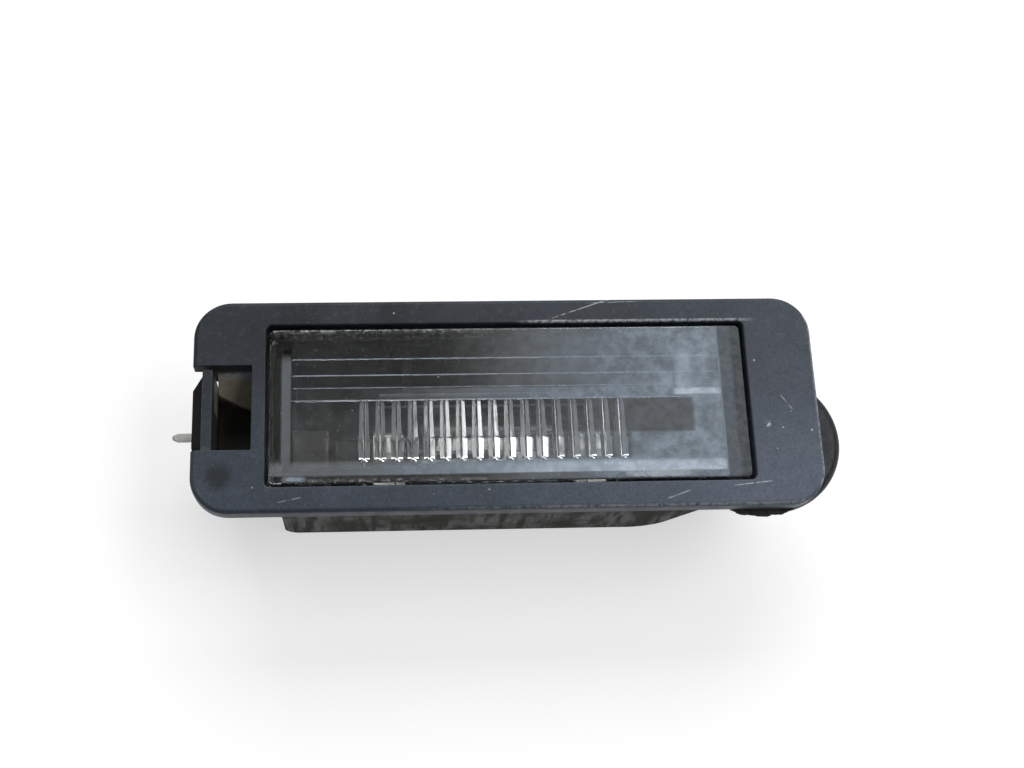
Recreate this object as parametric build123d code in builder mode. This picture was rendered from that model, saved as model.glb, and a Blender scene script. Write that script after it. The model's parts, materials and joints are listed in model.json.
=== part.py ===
from build123d import *
import math
import os

# Number plate lamp that clips into a car's body panel: a black bezel with a moulded latch, a clear lens
# tray, a rear housing with a plug socket, and a festoon bulb between two stamped contact strips.
# X runs along the bezel, Y across it and Z out of the lens. The origin is the centre of the bezel's
# back face, which seats on the panel. All sizes are in millimetres.

# Bezel flange: how far it stands out past the skirt at its ends and along its sides
left_end_length = 7.75
right_end_length = 7.35
side_overhang = 1.6
flange_thickness = 2.5
flange_corner_radius = 5.0
flange_edge_radius = 0.6

# Window in the flange, and the skirt behind it that takes the lens and the housing
window_length = 64.2
window_height = 22.2
window_corner_radius = 0.8
window_edge_chamfer = 0.25
skirt_wall = 1.05
skirt_depth = 4.6
fit_clearance = 0.2

# Clear lens tray with its foot and seal
lens_gap = 0.45
lens_recess = 0.4
lens_corner_radius = 0.7
lens_edge_radius = 0.3
lens_face_thickness = 1.4
lens_rim_width = 1.6
lens_wall_slope = 1.4
lens_foot_ledge = 0.6
lens_foot_thickness = 1.2
seal_thickness = 0.8
seal_gap = 0.3

# Prisms inside the lens: ribs across the upper part, flutes in two rows over the bulb
optic_root = 0.1
optic_top = 0.8
fine_rib_width = 1.75
fine_rib_count = 2
broad_rib_width = 2.3
broad_rib_count = 2
rib_drop = 0.6
flute_pitch = 2.13
flute_count = 17
upper_flute_length = 5.05
upper_flute_drop = 0.45
lower_flute_length = 3.65
lower_flute_drop = 0.6
flute_pad_length = 49.0
flute_pad_drop = 0.25

# Screwdriver pocket at the left end, with the latch arm in it
pocket_height = 11.6
pocket_offset = -0.3
pocket_wall = 1.0
pocket_wall_depth = 4.0
arm_inset = 1.3
arm_thickness = 1.35
arm_depth = 6.5
arm_recess = 0.15
arm_tip_gap = 0.5
arm_root_length = 3.0
arm_root_width = 2.6
hook_reach = 1.7
hook_land = 0.8
hook_peak_depth = 1.6
hook_start_height = 0.8
hook_end_gap = 1.3
hook_taper = 1.6
ramp_gap = 0.3
ramp_drop = 4.1
ramp_start_depth = 0.4
ramp_thickness = 1.1
ramp_high_width = 4.3
ramp_low_width = 2.4

# Nose lug at the right end, behind the panel's edge
lug_radius = 9.7
lug_reach = 4.1
lug_offset = -4.4
lug_thickness = 3.4
lug_edge_radius = 1.4
panel_slot = 2.2

# Foam gasket behind the flange, squeezed out at the lower right
gasket_thickness = 1.0
gasket_inset = 0.5
gasket_gap = 0.2
bulge_place = 33.3
bulge_length = 9.2
bulge_reach = 0.95

# Rear housing
rim_depth = 3.0
housing_wall = 1.5
housing_depth = 21.0
tub_inset = 1.9
right_end_slope = 9.0
housing_left_radius = 2.3
housing_right_radius = 6.0
housing_edge_radius = 1.2
back_panel_recess = 0.5
back_panel_margin = 4.0
snap_spacing = 36.0
snap_length = 6.4
snap_height = 1.0
snap_reach = 0.8
snap_clearance = 0.15
snap_depth = 2.7

# Plug socket and its two pins
socket_length = 8.8
socket_width = 10.4
socket_height = 7.2
socket_wall = 1.2
socket_depth = 12.0
socket_corner_radius = 1.0
pin_width = 1.2
pin_thickness = 0.6
pin_spacing = 2.8
pin_clearance = 0.05
pin_tip_chamfer = 0.35
live_pin_reach = 4.2
earth_pin_setback = 3.0

# Festoon bulb
bulb_place = -2.0
bulb_offset = -3.3
glass_diameter = 10.4
glass_length = 23.0
glass_wall = 0.6
glass_shoulder = 3.0
neck_diameter = 6.2
neck_length = 2.0
cap_diameter = 7.0
cap_length = 6.4
cap_gap = 0.2
cap_clearance = 0.1
cone_length = 2.2
tip_diameter = 2.6
lead_diameter = 0.45
lead_insertion = 1.0
filament_length = 8.0
filament_diameter = 0.8

# Contact strips and the posts that carry them
strip_width = 7.0
strip_thickness = 0.5
strip_bend_radius = 0.8
plate_rise = 4.5
strip_tail = 0.6
run_width = 2.6
run_floor_gap = 1.65
live_step_rise = 1.6
earth_step_inset = 2.1
earth_foot_length = 3.65
plate_inset = 0.7
contact_clearance = 0.08
post_width = 3.2
stake_diameter = 1.6
stake_head_diameter = 2.8
stake_head_height = 0.5
stake_clearance = 0.1

# Reflector trough behind the bulb, on two saddle ribs
reflector_radius = 6.3
reflector_thickness = 0.4
reflector_length = 30.0
reflector_run_gap = 1.15
saddle_spacing = 22.0
saddle_thickness = 1.2
saddle_clearance = 0.05
saddle_height_below_axis = 1.0
run_clearance = 0.3

# Places that follow from the sizes above
lens_length = window_length - 2 * lens_gap
lens_height = window_height - 2 * lens_gap
lens_top = flange_thickness - lens_recess
lens_inner_face = lens_top - lens_face_thickness
foot_length = window_length + 2 * lens_foot_ledge
foot_height = window_height + 2 * lens_foot_ledge
foot_corner_radius = window_corner_radius + lens_foot_ledge
foot_top = -seal_thickness
foot_bottom = foot_top - lens_foot_thickness
bore_length = foot_length + 2 * fit_clearance
bore_height = foot_height + 2 * fit_clearance
bore_corner_radius = foot_corner_radius + fit_clearance
skirt_length = bore_length + 2 * skirt_wall
skirt_height = bore_height + 2 * skirt_wall
skirt_corner_radius = bore_corner_radius + skirt_wall

flange_length = skirt_length + left_end_length + right_end_length
flange_height = skirt_height + 2 * side_overhang
window_offset = (left_end_length - right_end_length) / 2
skirt_right = window_offset + skirt_length / 2
flange_left = -flange_length / 2
pocket_right = window_offset - skirt_length / 2
pocket_top = pocket_offset + pocket_height / 2
pocket_bottom = pocket_offset - pocket_height / 2
arm_outer = flange_left + arm_inset
arm_inner = arm_outer + arm_thickness
arm_tip = pocket_top - arm_tip_gap

housing_back = -housing_depth
housing_floor = housing_back + housing_wall
rim_bottom = foot_bottom - rim_depth
housing_left = window_offset - foot_length / 2 + tub_inset
housing_right_front = window_offset + foot_length / 2 - tub_inset
housing_right_back = housing_right_front - right_end_slope
housing_inner_left = housing_left + housing_wall
slope_run = right_end_slope / (rim_bottom - housing_back)
slope_wall = housing_wall * math.hypot(1, slope_run)

bulb_length = glass_length + 2 * (cap_gap + cap_length)
strip_edge = bulb_offset + strip_width / 2
pin_place = strip_edge - pin_width / 2
socket_axis = -socket_depth
live_pin_level = socket_axis + pin_spacing / 2
earth_pin_level = socket_axis - pin_spacing / 2
live_pin_tip = flange_left - live_pin_reach
earth_pin_tip = live_pin_tip + earth_pin_setback
strip_start = housing_inner_left + strip_tail
plate_offset = bulb_length / 2 - plate_inset - strip_thickness / 2
live_plate = bulb_place - plate_offset
earth_plate = bulb_place + plate_offset
cone_share = (plate_inset + strip_thickness) / cone_length
plate_hole_radius = tip_diameter / 2 + (cap_diameter - tip_diameter) / 2 * cone_share + contact_clearance
run_level = housing_floor + run_floor_gap + strip_thickness / 2
reflector_bottom = run_level + strip_thickness / 2 + reflector_run_gap
bulb_level = reflector_bottom + reflector_thickness + reflector_radius
strip_top = bulb_level + plate_rise
live_step_level = run_level + live_step_rise
live_step_start = (strip_start + live_plate) / 2
live_post = (live_step_start + live_plate) / 2
earth_post = earth_plate - earth_foot_length / 2 - strip_bend_radius

flute_bank_start = bulb_place - flute_pitch * flute_count / 2
bulb_axis = Axis((bulb_place, bulb_offset, bulb_level), (1, 0, 0))
bulb_plane = Plane(origin=(bulb_place, bulb_offset, bulb_level), x_dir=(1, 0, 0), z_dir=(0, -1, 0))


def plane_at_y(y):
    """Upright plane facing -Y: its x is the lamp's X, its y is the lamp's Z."""
    return Plane(origin=(0, y, 0), x_dir=(1, 0, 0), z_dir=(0, -1, 0))


def plane_at_x(x):
    """Upright plane facing +X: its x is the lamp's Y, its y is the lamp's Z."""
    return Plane(origin=(x, 0, 0), x_dir=(0, 1, 0), z_dir=(1, 0, 0))


def block(x_range, y_range, z_range, mode=Mode.ADD):
    """Box between two corners, added to or cut from the part in hand."""
    sizes = [high - low for low, high in (x_range, y_range, z_range)]
    middle = tuple((low + high) / 2 for low, high in (x_range, y_range, z_range))
    with Locations(middle):
        Box(*sizes, mode=mode)


os.makedirs("parts", exist_ok=True)


# Hook on the latch arm: an outward wedge, ramped on both sides, cut back at its free end
hook_outer = arm_outer - hook_reach
hook_low = pocket_bottom + hook_end_gap
hook_high = arm_tip
with BuildPart() as latch_hook:
    with BuildSketch(plane_at_y(hook_high)):
        with BuildLine():
            Polyline(
                (arm_inner, hook_start_height),
                (arm_outer, hook_start_height),
                (hook_outer, -hook_peak_depth),
                (hook_outer, -hook_peak_depth - hook_land),
                (arm_outer, -arm_depth),
                (arm_inner, -arm_depth),
                close=True,
            )
        make_face()
    extrude(amount=hook_high - hook_low)
    with BuildSketch(Plane.XY.offset(-arm_depth)):
        with BuildLine():
            Polyline(
                (arm_inner, hook_high),
                (arm_outer, hook_high),
                (hook_outer, hook_high - hook_taper),
                (hook_outer, hook_low),
                (arm_inner, hook_low),
                close=True,
            )
        make_face()
    extrude(amount=arm_depth + hook_start_height, mode=Mode.INTERSECT)

# Guide ramp in the pocket: a sloped plate on the skirt, which leads a screwdriver to the arm
ramp_left = arm_inner + ramp_gap
ramp_top = -ramp_start_depth
with BuildPart() as guide_ramp:
    with BuildSketch(plane_at_x(ramp_left)):
        with BuildLine():
            Polyline(
                (pocket_top, ramp_top),
                (pocket_top - ramp_high_width, ramp_top - ramp_drop),
                (pocket_top - ramp_high_width, ramp_top - ramp_drop - ramp_thickness),
                (pocket_top, ramp_top - ramp_thickness),
                close=True,
            )
        make_face()
    extrude(amount=pocket_right + skirt_wall / 2 - ramp_left)
    with BuildSketch(Plane.XY.offset(ramp_top)):
        with BuildLine():
            Polyline(
                (ramp_left, pocket_top),
                (ramp_left, pocket_top - ramp_low_width),
                (pocket_right, pocket_top - ramp_high_width),
                (pocket_right + skirt_wall / 2, pocket_top - ramp_high_width),
                (pocket_right + skirt_wall / 2, pocket_top),
                close=True,
            )
        make_face()
    extrude(amount=-(ramp_drop + ramp_thickness), mode=Mode.INTERSECT)

# Nose lug: a round tongue that hooks behind the panel's edge
lug_tip = flange_length / 2 + lug_reach
with BuildPart() as nose_lug:
    with BuildSketch(Plane.XY.offset(-panel_slot)):
        with Locations((lug_tip - lug_radius, lug_offset)):
            Circle(lug_radius)
    extrude(amount=-lug_thickness)
    fillet(nose_lug.edges().filter_by(GeomType.CIRCLE), lug_edge_radius)
    split(bisect_by=Plane.YZ.offset(skirt_right - skirt_wall / 2), keep=Keep.TOP)

# Bezel: flange, skirt, window, pocket with latch arm, ramp and lug, all one moulding
with BuildPart() as front_frame:
    with BuildSketch():
        RectangleRounded(flange_length, flange_height, flange_corner_radius)
    extrude(amount=flange_thickness)
    fillet(front_frame.faces().sort_by(Axis.Z)[-1].edges(), flange_edge_radius)
    block(
        (2 * flange_left, pocket_right),
        (pocket_bottom, pocket_top),
        (0, flange_thickness),
        mode=Mode.SUBTRACT,
    )
    with BuildSketch():
        with Locations((window_offset, 0)):
            RectangleRounded(skirt_length, skirt_height, skirt_corner_radius)
    extrude(amount=-skirt_depth)
    add(nose_lug.part)
    add(guide_ramp.part)
    with BuildSketch():
        with Locations((window_offset, 0)):
            RectangleRounded(bore_length, bore_height, bore_corner_radius)
    extrude(amount=-skirt_depth, mode=Mode.SUBTRACT)
    with BuildSketch():
        with Locations((window_offset, 0)):
            RectangleRounded(window_length, window_height, window_corner_radius)
    extrude(amount=flange_thickness, mode=Mode.SUBTRACT)
    window_rim = front_frame.faces().sort_by(Axis.Z)[-1].inner_wires()[0]
    chamfer(window_rim.edges(), window_edge_chamfer)
    block(
        (arm_outer, pocket_right + skirt_wall / 2),
        (pocket_top, pocket_top + pocket_wall),
        (-pocket_wall_depth, flange_thickness / 2),
    )
    block(
        (arm_outer, arm_inner),
        (pocket_bottom - arm_root_length / 2, arm_tip),
        (-arm_depth, flange_thickness - arm_recess),
    )
    block(
        (arm_outer, arm_outer + arm_root_width),
        (pocket_bottom - arm_root_length, pocket_bottom),
        (-arm_depth, flange_thickness / 2),
    )
    add(latch_hook.part)
    for side in (-1, 1):
        for place in (-snap_spacing / 2, snap_spacing / 2):
            half_slot = snap_length / 2 + snap_clearance
            block(
                (window_offset + place - half_slot, window_offset + place + half_slot),
                sorted((side * bore_height / 4, side * skirt_height)),
                (-snap_depth - snap_height - snap_clearance, -snap_depth + snap_clearance),
                mode=Mode.SUBTRACT,
            )
front_frame.part.label = "front_frame"
export_step(front_frame.part, "parts/front_frame.step")


# Flutes: two rows of rounded bars on the lens's inner face, the lower ones with round ends
optic_bottom = optic_top - upper_flute_length


def flute_section(row_top, drop):
    """Upright section of one row at its upper end: a bulge below the inner face for each flute."""
    root = lens_inner_face + optic_root
    starts = [flute_bank_start + index * flute_pitch for index in range(flute_count)]
    with BuildSketch(plane_at_y(row_top)) as section:
        with BuildLine():
            for start in starts:
                ThreePointArc(
                    (start, lens_inner_face),
                    (start + flute_pitch / 2, lens_inner_face - drop),
                    (start + flute_pitch, lens_inner_face),
                )
            Polyline(
                (starts[0], lens_inner_face),
                (starts[0], root),
                (starts[-1] + flute_pitch, root),
                (starts[-1] + flute_pitch, lens_inner_face),
            )
        make_face()
    return section.sketch


with BuildPart() as upper_flutes:
    extrude(flute_section(optic_top, upper_flute_drop + flute_pad_drop), amount=upper_flute_length)

with BuildPart() as lower_flutes:
    extrude(flute_section(optic_bottom, lower_flute_drop), amount=lower_flute_length)
    with BuildSketch(Plane.XY.offset(lens_inner_face + optic_root)):
        straight = lower_flute_length - flute_pitch / 2
        bank_middle = flute_bank_start + flute_pitch * flute_count / 2
        with Locations((bank_middle, optic_bottom - straight / 2)):
            Rectangle(flute_pitch * flute_count, straight)
        with Locations((bank_middle, optic_bottom - straight)):
            with GridLocations(flute_pitch, 1, flute_count, 1):
                Circle(flute_pitch / 2)
    extrude(amount=-(optic_root + lower_flute_drop), mode=Mode.INTERSECT)

# Lens: a tray with sloped inner walls, a smooth face and a foot that the skirt holds
with BuildPart() as lens:
    with BuildSketch(Plane.XY.offset(lens_top)):
        with Locations((window_offset, 0)):
            RectangleRounded(lens_length, lens_height, lens_corner_radius)
    extrude(amount=foot_bottom - lens_top)
    fillet(lens.faces().sort_by(Axis.Z)[-1].edges(), lens_edge_radius)
    with BuildSketch(Plane.XY.offset(foot_top)):
        with Locations((window_offset, 0)):
            RectangleRounded(foot_length, foot_height, foot_corner_radius)
    extrude(amount=-lens_foot_thickness)
    mouth_length = lens_length - 2 * lens_rim_width
    mouth_height = lens_height - 2 * lens_rim_width
    with BuildSketch(Plane.XY.offset(foot_bottom)):
        with Locations((window_offset, 0)):
            Rectangle(mouth_length, mouth_height)
    with BuildSketch(Plane.XY.offset(lens_inner_face)):
        with Locations((window_offset, 0)):
            Rectangle(mouth_length - 2 * lens_wall_slope, mouth_height - lens_wall_slope)
    loft(mode=Mode.SUBTRACT)
    inner_length = mouth_length - 2 * lens_wall_slope
    rib_foot = optic_top
    for rib_width in [fine_rib_width] * fine_rib_count + [broad_rib_width] * broad_rib_count:
        with BuildSketch(plane_at_x(window_offset - inner_length / 2)):
            with BuildLine():
                Polyline(
                    (rib_foot, lens_inner_face + optic_root),
                    (rib_foot, lens_inner_face - rib_drop),
                    (rib_foot + rib_width, lens_inner_face),
                    (rib_foot + rib_width, lens_inner_face + optic_root),
                    close=True,
                )
            make_face()
        extrude(amount=inner_length)
        rib_foot += rib_width
    block(
        (window_offset - flute_pad_length / 2, window_offset + flute_pad_length / 2),
        (optic_bottom, optic_top),
        (lens_inner_face - flute_pad_drop, lens_inner_face + optic_root),
    )
    add(upper_flutes.part)
    add(lower_flutes.part)
lens.part.label = "lens"
export_step(lens.part, "parts/lens.step")

# Rubber ring between the lens foot and the flange
with BuildPart() as lens_seal:
    with BuildSketch():
        with Locations((window_offset, 0)):
            RectangleRounded(foot_length, foot_height, foot_corner_radius)
            RectangleRounded(
                lens_length + 2 * seal_gap,
                lens_height + 2 * seal_gap,
                lens_corner_radius + seal_gap,
                mode=Mode.SUBTRACT,
            )
    extrude(amount=-seal_thickness)
lens_seal.part.label = "lens_seal"
export_step(lens_seal.part, "parts/lens_seal.step")

# Foam strip round three sides of the skirt, swollen past the flange at the lower right
with BuildPart() as panel_gasket:
    with BuildSketch():
        RectangleRounded(
            flange_length - 2 * gasket_inset,
            flange_height - 2 * gasket_inset,
            flange_corner_radius - gasket_inset,
        )
        with Locations((bulge_place, gasket_inset - flange_height / 2)):
            Ellipse(bulge_length / 2, bulge_reach + gasket_inset)
        with Locations((window_offset, 0)):
            RectangleRounded(
                skirt_length + 2 * gasket_gap,
                skirt_height + 2 * gasket_gap,
                skirt_corner_radius + gasket_gap,
                mode=Mode.SUBTRACT,
            )
        with Locations((pocket_right - gasket_gap, 0)):
            Rectangle(
                flange_length,
                flange_height,
                align=(Align.MAX, Align.CENTER),
                mode=Mode.SUBTRACT,
            )
    extrude(amount=-gasket_thickness)
panel_gasket.part.label = "panel_gasket"
export_step(panel_gasket.part, "parts/panel_gasket.step")


# Rear housing: a rim in the skirt, a tub with a sloped right end, and the plug socket at the left
with BuildPart() as rear_housing:
    with BuildSketch(Plane.XY.offset(foot_bottom)):
        with Locations((window_offset, 0)):
            RectangleRounded(foot_length, foot_height, foot_corner_radius)
    extrude(amount=-rim_depth)
    with BuildSketch(plane_at_y(foot_height / 2)) as tub_side:
        with BuildLine():
            Polyline(
                (housing_left, rim_bottom),
                (housing_left, housing_back),
                (housing_right_back, housing_back),
                (housing_right_front, rim_bottom),
                close=True,
            )
        make_face()
        fillet(tub_side.vertices().group_by(Axis.Y)[0].sort_by(Axis.X)[0], housing_left_radius)
        fillet(tub_side.vertices().group_by(Axis.Y)[0].sort_by(Axis.X)[-1], housing_right_radius)
    extrude(amount=foot_height)
    fillet(rear_housing.edges().filter_by(Axis.X).group_by(Axis.Z)[0], housing_edge_radius)
    inner_half = foot_height / 2 - housing_wall
    with BuildSketch(plane_at_y(inner_half)):
        with BuildLine():
            Polyline(
                (housing_inner_left, foot_bottom),
                (housing_inner_left, housing_floor),
                (housing_right_back - slope_wall + slope_run * housing_wall, housing_floor),
                (housing_right_front - slope_wall, rim_bottom),
                (housing_right_front - slope_wall, foot_bottom),
                close=True,
            )
        make_face()
    extrude(amount=2 * inner_half, mode=Mode.SUBTRACT)
    with BuildSketch(Plane.XY.offset(foot_bottom)):
        with Locations((window_offset, 0)):
            Rectangle(foot_length - 2 * housing_wall, foot_height - 2 * housing_wall)
    extrude(amount=-(rim_depth - housing_wall), mode=Mode.SUBTRACT)
    # Shallow panel sunk into the back
    panel_left = housing_left + back_panel_margin
    panel_right = housing_right_back - back_panel_margin
    with BuildSketch(Plane.XY.offset(housing_back)):
        with Locations(((panel_left + panel_right) / 2, 0)):
            RectangleRounded(
                panel_right - panel_left,
                foot_height - 2 * back_panel_margin,
                back_panel_margin / 2,
            )
    extrude(amount=back_panel_recess, mode=Mode.SUBTRACT)
    # Wedges that snap into the skirt's slots
    for side in (-1, 1):
        for place in (-snap_spacing / 2, snap_spacing / 2):
            with BuildSketch(plane_at_x(window_offset + place - snap_length / 2)):
                with BuildLine():
                    Polyline(
                        (side * inner_half, -snap_depth),
                        (side * (foot_height / 2), -snap_depth),
                        (side * (foot_height / 2 + fit_clearance + snap_reach), -snap_depth - snap_height),
                        (side * inner_half, -snap_depth - snap_height),
                        close=True,
                    )
                make_face()
            extrude(amount=snap_length)
    # Socket sleeve
    with BuildSketch(plane_at_x(housing_left)):
        with Locations((pin_place, socket_axis)):
            RectangleRounded(
                socket_width + 2 * socket_wall,
                socket_height + 2 * socket_wall,
                socket_corner_radius + socket_wall,
            )
            RectangleRounded(socket_width, socket_height, socket_corner_radius, mode=Mode.SUBTRACT)
    extrude(amount=-socket_length)
    for level in (live_pin_level, earth_pin_level):
        half_width = pin_width / 2 + pin_clearance
        half_thickness = pin_thickness / 2 + pin_clearance
        block(
            (housing_left - housing_wall, housing_inner_left + housing_wall),
            (pin_place - half_width, pin_place + half_width),
            (level - half_thickness, level + half_thickness),
            mode=Mode.SUBTRACT,
        )
    # Saddle ribs under the reflector, open below for the earth strip
    saddle_top = bulb_level - saddle_height_below_axis
    for place in (-saddle_spacing / 2, saddle_spacing / 2):
        block(
            (bulb_place + place - saddle_thickness / 2, bulb_place + place + saddle_thickness / 2),
            (-inner_half, inner_half),
            (housing_floor, saddle_top),
        )
    with BuildSketch(plane_at_x(bulb_place - saddle_spacing)):
        with Locations((bulb_offset, bulb_level)):
            Circle(reflector_radius + reflector_thickness + saddle_clearance)
    extrude(amount=2 * saddle_spacing, mode=Mode.SUBTRACT)
    run_half = strip_thickness / 2
    for place in (-saddle_spacing / 2, saddle_spacing / 2):
        block(
            (bulb_place + place - saddle_thickness, bulb_place + place + saddle_thickness),
            (strip_edge - run_width - run_clearance, strip_edge + run_clearance),
            (run_level - run_half - run_clearance, run_level + run_half + 2 * run_clearance),
            mode=Mode.SUBTRACT,
        )
    # Posts with heat-staked heads that hold the two strips
    live_post_place = bulb_offset - strip_width / 2 + post_width / 2
    for x, y, seat in (
        (live_post, live_post_place, live_step_level),
        (earth_post, bulb_offset, run_level),
    ):
        under = seat - strip_thickness / 2
        over = seat + strip_thickness / 2
        block(
            (x - post_width / 2, x + post_width / 2),
            (y - post_width / 2, y + post_width / 2),
            (housing_floor - housing_wall / 2, under),
        )
        with BuildSketch(Plane.XY.offset(under)):
            with Locations((x, y)):
                Circle(stake_diameter / 2)
        extrude(amount=strip_thickness)
        with BuildSketch(Plane.XY.offset(over)):
            with Locations((x, y)):
                Circle(stake_head_diameter / 2)
        extrude(amount=stake_head_height)
rear_housing.part.label = "rear_housing"
export_step(rear_housing.part, "parts/rear_housing.step")


def pin(tip, level):
    """Flat pin with a tapered tip, from its tip through the housing wall to the strip."""
    half_width = pin_width / 2
    with BuildSketch(Plane.XY.offset(level - pin_thickness / 2)) as outline:
        with BuildLine():
            Polyline(
                (strip_start, pin_place - half_width),
                (tip + 2 * pin_tip_chamfer, pin_place - half_width),
                (tip, pin_place - half_width + pin_tip_chamfer),
                (tip, pin_place + half_width - pin_tip_chamfer),
                (tip + 2 * pin_tip_chamfer, pin_place + half_width),
                (strip_start, pin_place + half_width),
                close=True,
            )
        make_face()
    extrude(outline.sketch, amount=pin_thickness)


def stake_hole(x, y, level):
    """Hole in a strip for a heat-staked post."""
    with Locations((x, y, level)):
        Cylinder(stake_diameter / 2 + stake_clearance, 2 * strip_thickness, mode=Mode.SUBTRACT)


def bulb_hole(plate):
    """Hole in a strip's upright plate that the bulb's cone sits in."""
    with Locations((plate, bulb_offset, bulb_level)):
        Cylinder(plate_hole_radius, 2 * strip_thickness, rotation=(0, 90, 0), mode=Mode.SUBTRACT)


# Live strip: the long pin, a step down to its post, and the upright plate at the bulb's left end
with BuildPart() as contact_live:
    pin(live_pin_tip, live_pin_level)
    with BuildSketch(plane_at_y(strip_edge)):
        with BuildLine():
            FilletPolyline(
                (strip_start - strip_thickness, live_pin_level),
                (live_step_start, live_pin_level),
                (live_step_start, live_step_level),
                (live_plate, live_step_level),
                (live_plate, strip_top),
                radius=strip_bend_radius,
            )
        trace(line_width=strip_thickness)
    extrude(amount=strip_width)
    stake_hole(live_post, live_post_place, live_step_level)
    bulb_hole(live_plate)
contact_live.part.label = "contact_live"
export_step(contact_live.part, "parts/contact_live.step")

# Earth strip: the short pin, a narrow run along the floor, and the upright plate at the right end
earth_step = strip_start + earth_step_inset
with BuildPart() as contact_earth:
    pin(earth_pin_tip, earth_pin_level)
    with BuildSketch(plane_at_y(strip_edge)):
        with BuildLine():
            FilletPolyline(
                (strip_start - strip_thickness, earth_pin_level),
                (earth_step, earth_pin_level),
                (earth_step, run_level),
                (earth_post, run_level),
                radius=strip_bend_radius,
            )
        trace(line_width=strip_thickness)
    extrude(amount=run_width)
    with BuildSketch(plane_at_y(strip_edge)):
        with BuildLine():
            FilletPolyline(
                (earth_plate - earth_foot_length - strip_bend_radius, run_level),
                (earth_plate, run_level),
                (earth_plate, strip_top),
                radius=strip_bend_radius,
            )
        trace(line_width=strip_thickness)
    extrude(amount=strip_width)
    stake_hole(earth_post, bulb_offset, run_level)
    bulb_hole(earth_plate)
contact_earth.part.label = "contact_earth"
export_step(contact_earth.part, "parts/contact_earth.step")

# Reflector: a half-round sheet trough along the bulb
with BuildPart() as reflector:
    with BuildSketch(plane_at_x(bulb_place - reflector_length / 2)):
        with BuildLine():
            CenterArc((bulb_offset, bulb_level), reflector_radius + reflector_thickness / 2, 180, 180)
        trace(line_width=reflector_thickness)
    extrude(amount=reflector_length)
reflector.part.label = "reflector"
export_step(reflector.part, "parts/reflector.step")

# Bulb envelope: a hollow tube with round shoulders and a neck at each end
glass_half = glass_length / 2
neck_end = glass_half + neck_length


def envelope(radius, neck_radius, half, end):
    """Half section of the envelope about the bulb's axis."""
    barrel = half - glass_shoulder
    rise = radius - neck_radius
    with BuildSketch(bulb_plane) as section:
        with BuildLine():
            Polyline((-end, 0), (-end, neck_radius), (-half, neck_radius))
            EllipticalCenterArc((-barrel, neck_radius), glass_shoulder, rise, start_angle=90, arc_size=90)
            Line((-barrel, radius), (barrel, radius))
            EllipticalCenterArc((barrel, neck_radius), glass_shoulder, rise, start_angle=0, arc_size=90)
            Polyline((half, neck_radius), (end, neck_radius), (end, 0), (-end, 0))
        make_face()
    return section.sketch


with BuildPart() as bulb_glass:
    revolve(envelope(glass_diameter / 2, neck_diameter / 2, glass_half, neck_end), axis=bulb_axis)
    hollow = envelope(
        glass_diameter / 2 - glass_wall,
        neck_diameter / 2 - glass_wall,
        glass_half - glass_wall,
        neck_end - glass_wall,
    )
    revolve(hollow, axis=bulb_axis, mode=Mode.SUBTRACT)
    with Locations((bulb_place, bulb_offset, bulb_level)):
        Cylinder(
            lead_diameter / 2 + cap_clearance,
            2 * neck_end,
            rotation=(0, 90, 0),
            mode=Mode.SUBTRACT,
        )
bulb_glass.part.label = "bulb_glass"
export_step(bulb_glass.part, "parts/bulb_glass.step")

# Bulb caps: metal sleeves over the necks, closed by a cone
cap_start = glass_half + cap_gap
cone_start = bulb_length / 2 - cone_length


def cap_section(side):
    """Half section of one cap, mirrored to its side."""
    bore = neck_diameter / 2 + cap_clearance
    bore_end = neck_end + cap_clearance
    lead_bore = lead_diameter / 2 + cap_clearance
    lead_end = neck_end + lead_insertion + cap_clearance
    with BuildSketch(bulb_plane) as section:
        with BuildLine():
            Polyline(
                (side * cap_start, bore),
                (side * cap_start, cap_diameter / 2),
                (side * cone_start, cap_diameter / 2),
                (side * bulb_length / 2, tip_diameter / 2),
                (side * bulb_length / 2, 0),
                (side * lead_end, 0),
                (side * lead_end, lead_bore),
                (side * bore_end, lead_bore),
                (side * bore_end, bore),
                close=True,
            )
        make_face()
    return section.sketch


with BuildPart() as bulb_cap_left:
    revolve(cap_section(-1), axis=bulb_axis)
bulb_cap_left.part.label = "bulb_cap_left"
export_step(bulb_cap_left.part, "parts/bulb_cap_left.step")

with BuildPart() as bulb_cap_right:
    revolve(cap_section(1), axis=bulb_axis)
bulb_cap_right.part.label = "bulb_cap_right"
export_step(bulb_cap_right.part, "parts/bulb_cap_right.step")

# Filament: the outer shape of its tight coil
with BuildPart() as bulb_filament:
    with Locations((bulb_place, bulb_offset, bulb_level)):
        Cylinder(filament_diameter / 2, filament_length, rotation=(0, 90, 0))
bulb_filament.part.label = "bulb_filament"
export_step(bulb_filament.part, "parts/bulb_filament.step")

# Lead wires from the filament into the caps
lead_length = neck_end + lead_insertion - filament_length / 2
with BuildPart() as bulb_leads:
    for side in (-1, 1):
        middle = bulb_place + side * (filament_length / 2 + lead_length / 2)
        with Locations((middle, bulb_offset, bulb_level)):
            Cylinder(lead_diameter / 2, lead_length, rotation=(0, 90, 0))
bulb_leads.part.label = "bulb_leads"
export_step(bulb_leads.part, "parts/bulb_leads.step")
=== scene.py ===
"""Number plate lamp, modelled and finished around its fixed frame.

X runs along the bezel, Y across it and Z out of the lens.
"""
import json
import math

import bpy
from mathutils import Matrix, Vector

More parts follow.
